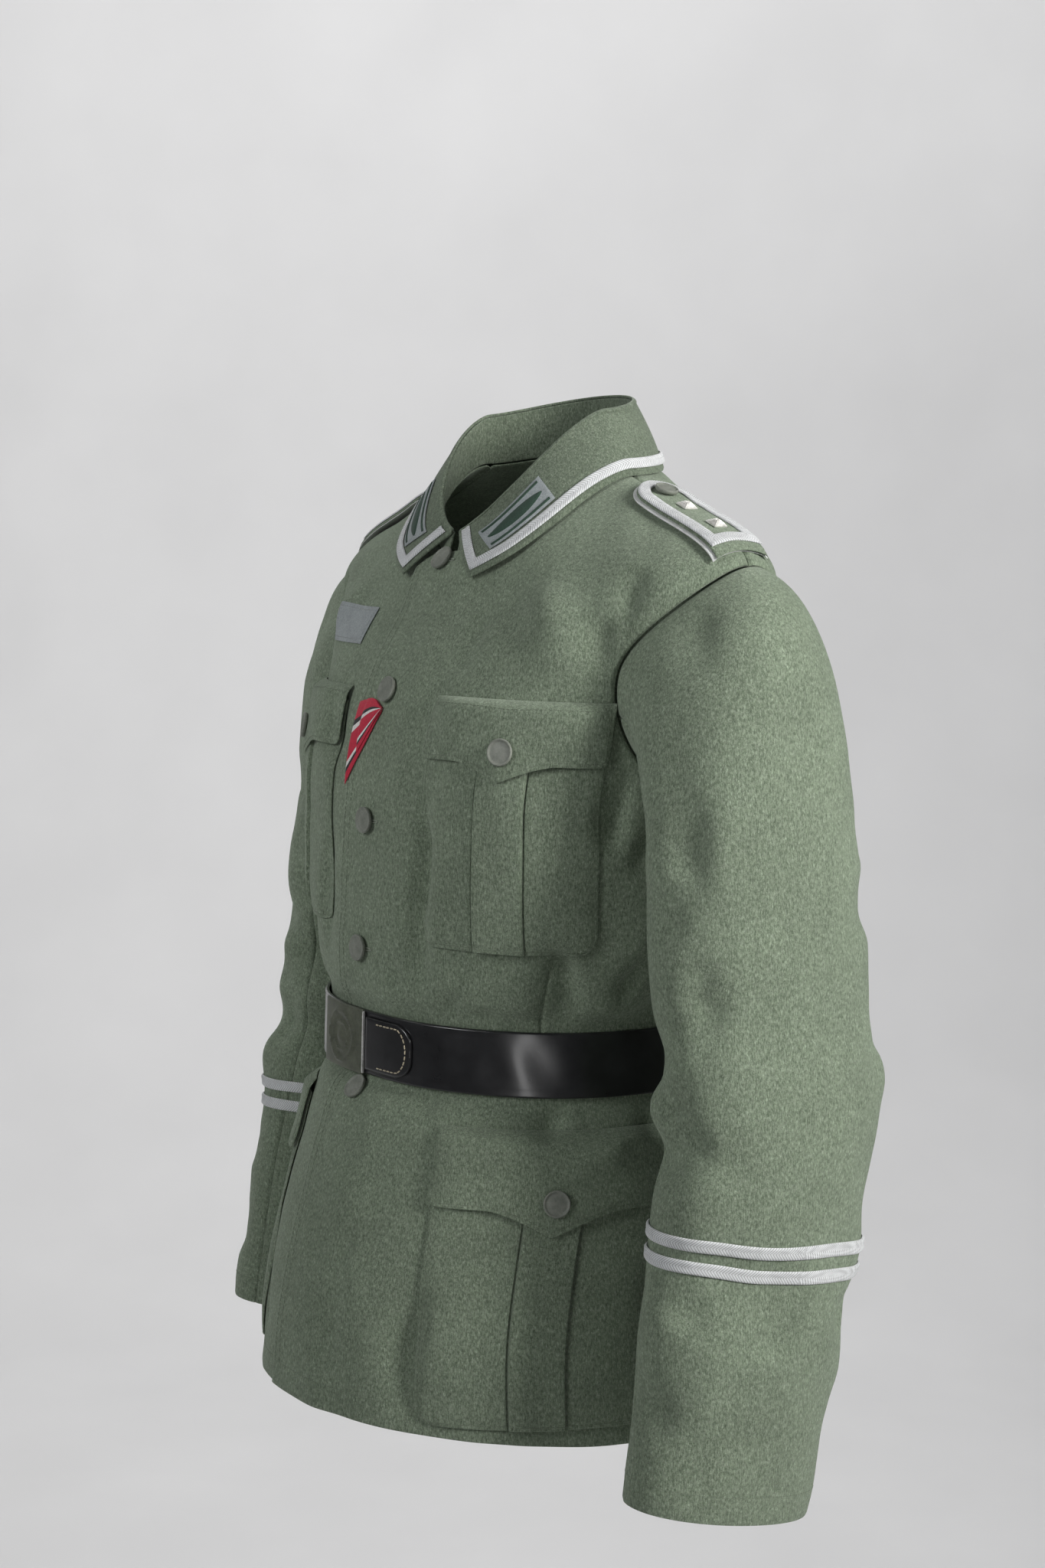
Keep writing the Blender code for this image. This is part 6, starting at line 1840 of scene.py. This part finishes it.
def closures():
    """Front and pocket buttons with their buttonholes."""
    for number, lift in enumerate(FRONT_BUTTON_LIFTS):
        z = TOP_BUTTON_Z - BUTTON_PITCH * number
        if number == len(FRONT_BUTTON_LIFTS) - 1:
            z -= LAST_BUTTON_DROP
        turn, level = place(0.0, z)
        point = worn(1, turn, level, lift)
        button(f"front_button_{number + 1}", point, torso_normal(turn, level), BUTTON_RADIUS)
        if number not in HIDDEN_BUTTONHOLES:
            buttonhole(f"front_buttonhole_{number + 1}", 1, BUTTONHOLE_ACROSS, z, False, lift)
    for side in (1, -1):
        for row in POCKETS[1:]:
            part, centre, _, top_z, _, _, _, button_z, lean, _, puff = row
            name = f"{side_name(side)}_{part}"
            lift = REST_GAP + POCKET_SIT + WALL + PLEAT_RISE + puff + WALL
            turn, level = place(centre + lean * (top_z - button_z), button_z)
            point = worn(side, turn, level, lift)
            button(f"{name}_button", point, torso_normal(side * turn, level), BUTTON_RADIUS)
            hole_z = button_z + BUTTONHOLE_ABOVE
            across = centre + lean * (top_z - hole_z)
            buttonhole(f"{name}_buttonhole", side, across, hole_z, True, lift - 0.0004)


# Finishes

FINISHES = {}


class Finish:
    """A procedural material: short methods that add its textures to one shader."""

    def __init__(self, name, colour, roughness, metallic=0.0):
        self.material = bpy.data.materials.new(name)
        self.material.use_nodes = True
        self.nodes = self.material.node_tree.nodes
        self.links = self.material.node_tree.links
        self.shader = self.nodes["Principled BSDF"]
        self.shader.inputs["Base Color"].default_value = (*colour, 1.0)
        self.shader.inputs["Roughness"].default_value = roughness
        self.shader.inputs["Metallic"].default_value = metallic
        self.coords = self.nodes.new("ShaderNodeTexCoord")
        self.bump = None

    def set(self, **values):
        for name, value in values.items():
            self.shader.inputs[name.replace("_", " ")].default_value = value

    def mapped(self, source="Object", scale=(1.0, 1.0, 1.0), turn=(0.0, 0.0, 0.0)):
        mapping = self.nodes.new("ShaderNodeMapping")
        mapping.inputs["Scale"].default_value = scale
        mapping.inputs["Rotation"].default_value = turn
        self.links.new(self.coords.outputs[source], mapping.inputs["Vector"])
        return mapping.outputs["Vector"]

    def noise(self, vector, scale, detail=3.0, rough=0.55):
        texture = self.nodes.new("ShaderNodeTexNoise")
        texture.inputs["Scale"].default_value = scale
        texture.inputs["Detail"].default_value = detail
        texture.inputs["Roughness"].default_value = rough
        self.links.new(vector, texture.inputs["Vector"])
        return texture.outputs["Fac"]

    def ramp(self, value, stops):
        ramp = self.nodes.new("ShaderNodeValToRGB")
        elements = ramp.color_ramp.elements
        for number, (place_at, colour) in enumerate(stops):
            element = elements[number] if number < 2 else elements.new(place_at)
            element.position = place_at
            element.color = (*colour, 1.0)
        self.links.new(value, ramp.inputs["Fac"])
        return ramp.outputs["Color"]

    def tone(self, value, low_at, low, high_at, high):
        """Greys from low to high between two places, to multiply a colour with."""
        return self.ramp(value, ((low_at, (low,) * 3), (high_at, (high,) * 3)))

    def times(self, first, second):
        mixer = self.nodes.new("ShaderNodeMix")
        mixer.data_type = "RGBA"
        mixer.blend_type = "MULTIPLY"
        mixer.inputs["Factor"].default_value = 1.0
        self.links.new(first, mixer.inputs["A"])
        self.links.new(second, mixer.inputs["B"])
        return mixer.outputs["Result"]

    def rise(self, height, strength, distance):
        """Adds a bump layer over those already there."""
        layer = self.nodes.new("ShaderNodeBump")
        layer.inputs["Strength"].default_value = strength
        layer.inputs["Distance"].default_value = distance
        self.links.new(height, layer.inputs["Height"])
        if self.bump:
            self.links.new(self.bump.outputs["Normal"], layer.inputs["Normal"])
        self.links.new(layer.outputs["Normal"], self.shader.inputs["Normal"])
        self.bump = layer

    def rough(self, value, low, high):
        spread = self.nodes.new("ShaderNodeMapRange")
        spread.inputs["To Min"].default_value = low
        spread.inputs["To Max"].default_value = high
        self.links.new(value, spread.inputs["Value"])
        self.links.new(spread.outputs["Result"], self.shader.inputs["Roughness"])

    def math(self, kind, first, second, third=None):
        """One calculation; a part may be another node's output or a number."""
        node = self.nodes.new("ShaderNodeMath")
        node.operation = kind
        for socket, part in zip(node.inputs, (first, second, third)):
            if isinstance(part, bpy.types.NodeSocket):
                self.links.new(part, socket)
            elif part is not None:
                socket.default_value = part
        return node.outputs["Value"]

    def paint(self, colour):
        self.links.new(colour, self.shader.inputs["Base Color"])


def wool_finish(name, dark, middle, light):
    """Milled wool: mixed fibres as flecks, slow mottling, a faint upright nap and a soft fuzz."""
    wool = Finish(name, middle, 0.95)
    place_map = wool.mapped()
    nap_map = wool.mapped(scale=(1.0, 1.0, 0.30))
    twill_map = wool.mapped(turn=(0.5, 0.35, 0.6))
    flecks = wool.noise(nap_map, 1050.0, 4.0, 0.74)
    clumps = wool.noise(place_map, 430.0, 3.0, 0.62)
    mottle = wool.noise(place_map, 21.0, 3.0, 0.60)
    fibres = wool.noise(twill_map, 1500.0, 2.0, 0.60)
    base = wool.ramp(flecks, ((0.30, dark), (0.70, light), (0.50, middle)))
    soft = wool.tone(clumps, 0.30, 0.70, 0.70, 1.28)
    slow = wool.tone(mottle, 0.30, 0.90, 0.70, 1.08)
    fine = wool.tone(fibres, 0.30, 0.80, 0.70, 1.20)
    toned = wool.times(base, soft)
    toned = wool.times(toned, slow)
    wool.paint(wool.times(toned, fine))
    wool.rise(clumps, 0.40, 0.0011)
    wool.rise(flecks, 0.50, 0.0006)
    wool.rise(fibres, 0.35, 0.0003)
    wool.set(Sheen_Weight=0.30, Sheen_Roughness=0.55, Sheen_Tint=(0.80, 0.88, 0.76, 1.0),
             Specular_IOR_Level=0.15)
    return wool.material


def plain_cloth_finish(name, colour, scale, spread):
    """Felt, cord or thread: fine uneven fibres of one colour."""
    felt = Finish(name, colour, 0.92)
    place_map = felt.mapped()
    fine, broad = felt.noise(place_map, scale, 4.0, 0.7), felt.noise(place_map, scale * 0.12, 3.0, 0.6)
    low = tuple(part * (1 - spread) for part in colour)
    high = tuple(part * (1 + spread) for part in colour)
    base = felt.ramp(fine, ((0.30, low), (0.70, high)))
    slow = felt.tone(broad, 0.30, 0.90, 0.70, 1.10)
    felt.paint(felt.times(base, slow))
    felt.rise(broad, 0.25, 0.0008)
    felt.rise(fine, 0.45, 0.0004)
    felt.set(Sheen_Weight=0.20, Sheen_Roughness=0.5, Specular_IOR_Level=0.20)
    return felt.material


def chevrons(finish):
    """The slanting cords of a braid that meet in its middle, from its metres along and across."""
    split = finish.nodes.new("ShaderNodeSeparateXYZ")
    finish.links.new(finish.mapped("UV"), split.inputs["Vector"])
    value = split.outputs["Y"]
    for kind, amount in (("SUBTRACT", BRAID_WIDTH / 2), ("ABSOLUTE", 0.0), ("MULTIPLY", BRAID_SLANT)):
        value = finish.math(kind, value, amount)
    value = finish.math("ADD", value, split.outputs["X"])
    value = finish.math("MULTIPLY", value, 2 * math.pi / BRAID_PITCH)
    value = finish.math("COSINE", value, 0.0)
    return finish.math("MULTIPLY_ADD", value, 0.5, 0.5)


def braid_finish():
    """Silver-white woven cord with fine strands, a little soiled in places, and painted shade in the grooves
    between the raised cords.
    """
    braid = Finish("braid", (0.66, 0.68, 0.69), 0.55, 0.05)
    strand_map = braid.mapped("UV", (1.0, 1.0, 1.0), (0.0, 0.0, math.radians(42)))
    cross_map = braid.mapped("UV", (1.0, 1.0, 1.0), (0.0, 0.0, math.radians(-42)))
    waves = []
    for vector in (strand_map, cross_map):
        wave = braid.nodes.new("ShaderNodeTexWave")
        wave.inputs["Scale"].default_value = 420.0
        wave.inputs["Distortion"].default_value = 1.2
        wave.inputs["Detail"].default_value = 1.0
        braid.links.new(vector, wave.inputs["Vector"])
        waves.append(wave.outputs["Fac"])
    weave = braid.times(waves[0], waves[1])
    soil = braid.noise(braid.mapped(), 160.0, 4.0, 0.65)
    base = braid.ramp(weave, ((0.0, (0.72, 0.74, 0.75)), (0.75, (0.94, 0.95, 0.96))))
    dirt = braid.tone(soil, 0.28, 0.88, 0.66, 1.05)
    base = braid.times(base, dirt)
    # painted shade: the braid is darker between the raised slanting cords, where the relief's grooves lie
    cords = braid.tone(chevrons(braid), 0.10, 0.58, 0.62, 1.0)
    braid.paint(braid.times(base, cords))
    braid.rise(weave, 0.55, 0.0004)
    braid.rise(soil, 0.20, 0.0004)
    braid.set(Sheen_Weight=0.15, Specular_IOR_Level=0.40)
    return braid.material


def leather_finish():
    """Polished black leather with fine pores and rubbed, uneven gloss."""
    leather = Finish("leather", (0.010, 0.010, 0.011), 0.26)
    place_map = leather.mapped()
    pores, rub = leather.noise(place_map, 900.0, 3.0, 0.6), leather.noise(place_map, 42.0, 4.0, 0.6)
    leather.paint(leather.ramp(rub, ((0.30, (0.007, 0.007, 0.008)), (0.75, (0.022, 0.022, 0.024)))))
    leather.rough(rub, 0.22, 0.38)
    leather.rise(rub, 0.05, 0.0006)
    leather.rise(pores, 0.16, 0.0002)
    leather.set(Coat_Weight=0.45, Coat_Roughness=0.16, Specular_IOR_Level=0.55)
    return leather.material


def painted_finish(name, dark, light, low, high):
    """Matt paint over metal, mottled and a little worn."""
    paint = Finish(name, light, high)
    place_map = paint.mapped()
    grains, stains = paint.noise(place_map, 700.0, 4.0, 0.7), paint.noise(place_map, 110.0, 4.0, 0.65)
    base = paint.ramp(stains, ((0.30, dark), (0.68, light)))
    fine = paint.tone(grains, 0.30, 0.86, 0.70, 1.10)
    paint.paint(paint.times(base, fine))
    paint.rough(stains, low, high)
    paint.rise(grains, 0.30, 0.0002)
    paint.set(Specular_IOR_Level=0.35)
    return paint.material


def metal_finish(name, dark, light, low, high):
    """Silvered metal with fine grain and uneven tarnish."""
    metal = Finish(name, light, high, 0.6)
    place_map = metal.mapped()
    grains, tarnish = metal.noise(place_map, 1100.0, 3.0, 0.6), metal.noise(place_map, 260.0, 4.0, 0.65)
    metal.paint(metal.ramp(tarnish, ((0.30, dark), (0.66, light))))
    metal.rough(tarnish, low, high)
    metal.rise(grains, 0.18, 0.0002)
    return metal.material


def ribbon_finish():
    """Ribbed silk in red, with the pale and dark stripes of its table up its width."""
    silk = Finish("ribbon", (0.36, 0.025, 0.035), 0.55)
    split = silk.nodes.new("ShaderNodeSeparateXYZ")
    silk.links.new(silk.mapped("UV"), split.inputs["Vector"])
    ramp = silk.ramp(split.outputs["Y"], RIBBON_STRIPES)
    ramp.node.color_ramp.interpolation = "CONSTANT"
    ribs = silk.nodes.new("ShaderNodeTexWave")
    ribs.inputs["Scale"].default_value = 520.0
    ribs.inputs["Distortion"].default_value = 0.6
    silk.links.new(silk.mapped("UV", (1.0, 0.0, 1.0)), ribs.inputs["Vector"])
    fibres = silk.noise(silk.mapped(), 900.0, 3.0, 0.6)
    tone = silk.tone(fibres, 0.30, 0.78, 0.70, 1.15)
    silk.paint(silk.times(ramp, tone))
    silk.rise(ribs.outputs["Fac"], 0.35, 0.0002)
    silk.set(Sheen_Weight=0.25, Sheen_Roughness=0.4)
    return silk.material


def make_finishes():
    """Makes every material once, so that pieces of one cloth share it."""
    FINISHES["wool"] = wool_finish("wool", *WOOL)
    collar_wool = (tuple(part * COLLAR_SHADE for part in colour) for colour in WOOL)
    FINISHES["collar"] = wool_finish("collar_wool", *collar_wool)
    FINISHES["braid"] = braid_finish()
    FINISHES["leather"] = leather_finish()
    FINISHES["ribbon"] = ribbon_finish()
    for name, *values in PLAIN_CLOTHS[1:]:
        FINISHES[name] = plain_cloth_finish(name, *values)
    for name, *values in PAINTS[1:]:
        FINISHES[name] = painted_finish(name, *values)
    FINISHES["pip"] = metal_finish("pip", *PIP_METAL)


# Setting: a pale curved backdrop, soft lights and the photograph's camera

def view_directions():
    """Right, up and forward of the photograph's camera."""
    a, p, r = (math.radians(value) for value in (CAMERA_AZIMUTH, CAMERA_PITCH, CAMERA_ROLL))
    forward = Vector((-math.sin(a) * math.cos(p), math.cos(a) * math.cos(p), -math.sin(p)))
    right = Vector((math.cos(a), math.sin(a), 0.0))
    up = right.cross(forward)
    return right * math.cos(r) + up * math.sin(r), up * math.cos(r) - right * math.sin(r), forward


def backdrop():
    """A pale floor that bends up into a wall behind the tunic, square to the camera."""
    right, _, forward = view_directions()
    away = Vector((forward.x, forward.y, 0.0)).normalized()
    right = Vector((right.x, right.y, 0.0)).normalized()
    profile = [(BACKDROP_NEAR, 0.0), (BACKDROP_REACH - BACKDROP_BEND, 0.0)]
    for angle in np.radians(np.linspace(6, 90, 15)):
        profile.append((BACKDROP_REACH - BACKDROP_BEND + BACKDROP_BEND * math.sin(angle),
                        BACKDROP_BEND * (1 - math.cos(angle))))
    profile.append((BACKDROP_REACH, BACKDROP_HEIGHT))
    points = []
    for side in (-BACKDROP_HALF_WIDTH, BACKDROP_HALF_WIDTH):
        for reach, rise in profile:
            point = away * reach + right * side
            points.append((point.x, point.y, FLOOR_Z + rise))
    count = len(profile)
    faces = [(k, k + 1, count + k + 1, count + k) for k in range(count - 1)]
    mesh = bpy.data.meshes.new("backdrop")
    mesh.from_pydata(points, [], faces)
    mesh.shade_smooth()
    paper = Finish("backdrop", (0.74, 0.74, 0.745), 0.9)
    grain = paper.noise(paper.mapped(), 3.0, 3.0, 0.5)
    paper.paint(paper.ramp(grain, ((0.3, (0.72, 0.72, 0.725)), (0.7, (0.76, 0.76, 0.765)))))
    mesh.materials.append(paper.material)
    item = bpy.data.objects.new("backdrop", mesh)
    bpy.context.scene.collection.objects.link(item)


def soft_light(name, place_at, target, size, spread, power_watts, colour):
    """One flat rectangular light that points at its target."""
    light = bpy.data.lights.new(name, "AREA")
    light.shape = "RECTANGLE"
    light.size, light.size_y = size
    light.spread = math.radians(spread)
    light.energy = power_watts
    light.color = colour
    item = bpy.data.objects.new(name, light)
    item.location = place_at
    item.rotation_euler = (Vector(target) - Vector(place_at)).to_track_quat("-Z", "Y").to_euler()
    bpy.context.scene.collection.objects.link(item)


def lights():
    """The table's lights, placed by the camera's directions, and an even light from the air."""
    right, _, forward = view_directions()
    right = Vector((right.x, right.y, 0.0)).normalized()
    near = -Vector((forward.x, forward.y, 0.0)).normalized()
    up = Vector((0.0, 0.0, 1.0))
    middle = Vector(LIGHTS_MIDDLE)
    for name, sideways, nearer, higher, aim, aim_high, size, spread, power_watts, colour in LIGHTS[1:]:
        place_at = middle + right * sideways + near * nearer + up * higher
        target = middle + near * aim + up * aim_high
        soft_light(name, place_at, target, size, spread, power_watts, colour)
    world = bpy.data.worlds.new("air")
    world.use_nodes = True
    air = world.node_tree.nodes["Background"]
    air.inputs["Color"].default_value = AIR_COLOUR
    air.inputs["Strength"].default_value = AIR_LIGHT
    bpy.context.scene.world = world


def camera():
    """The camera that was fitted to the photograph."""
    right, up, forward = view_directions()
    lens = bpy.data.cameras.new("photo_camera")
    lens.lens = CAMERA_LENS
    lens.sensor_width = SENSOR_WIDTH
    lens.sensor_fit = "AUTO"
    item = bpy.data.objects.new("photo_camera", lens)
    turned = Matrix((right, up, -forward)).transposed().to_4x4()
    item.matrix_world = Matrix.Translation(Vector(CAMERA_PLACE)) @ turned
    bpy.context.scene.collection.objects.link(item)
    bpy.context.scene.camera = item


def build():
    """Makes the pieces of both sides, then those of the middle, the setting and the camera."""
    make_finishes()
    for side in (1, -1):
        front_panel(side)
        back_panel(side)
        sleeve_piece(side, "sleeve_upper", UNDER_SEAM_BACK, UNDER_SEAM_FRONT + 360.0, UPPER_AROUND)
        sleeve_piece(side, "sleeve_under", UNDER_SEAM_FRONT, UNDER_SEAM_BACK, UNDER_AROUND)
        sleeve_rings(side)
        collar_patch(side)
        shoulder_strap(side)
        for row in POCKETS[1:]:
            pocket_bag(side, row)
            pocket_flap(side, row)
        sew_pockets(side)
        sew_panels(side)
    collar_stand()
    collar_fall()
    collar_braid()
    belt_band()
    belt_fittings()
    sew_tab()
    breast_patch()
    ribbon()
    closures()
    backdrop()
    lights()
    camera()
    bpy.context.scene.view_settings.view_transform = "Standard"
    bpy.context.scene.view_settings.exposure = EXPOSURE


build()
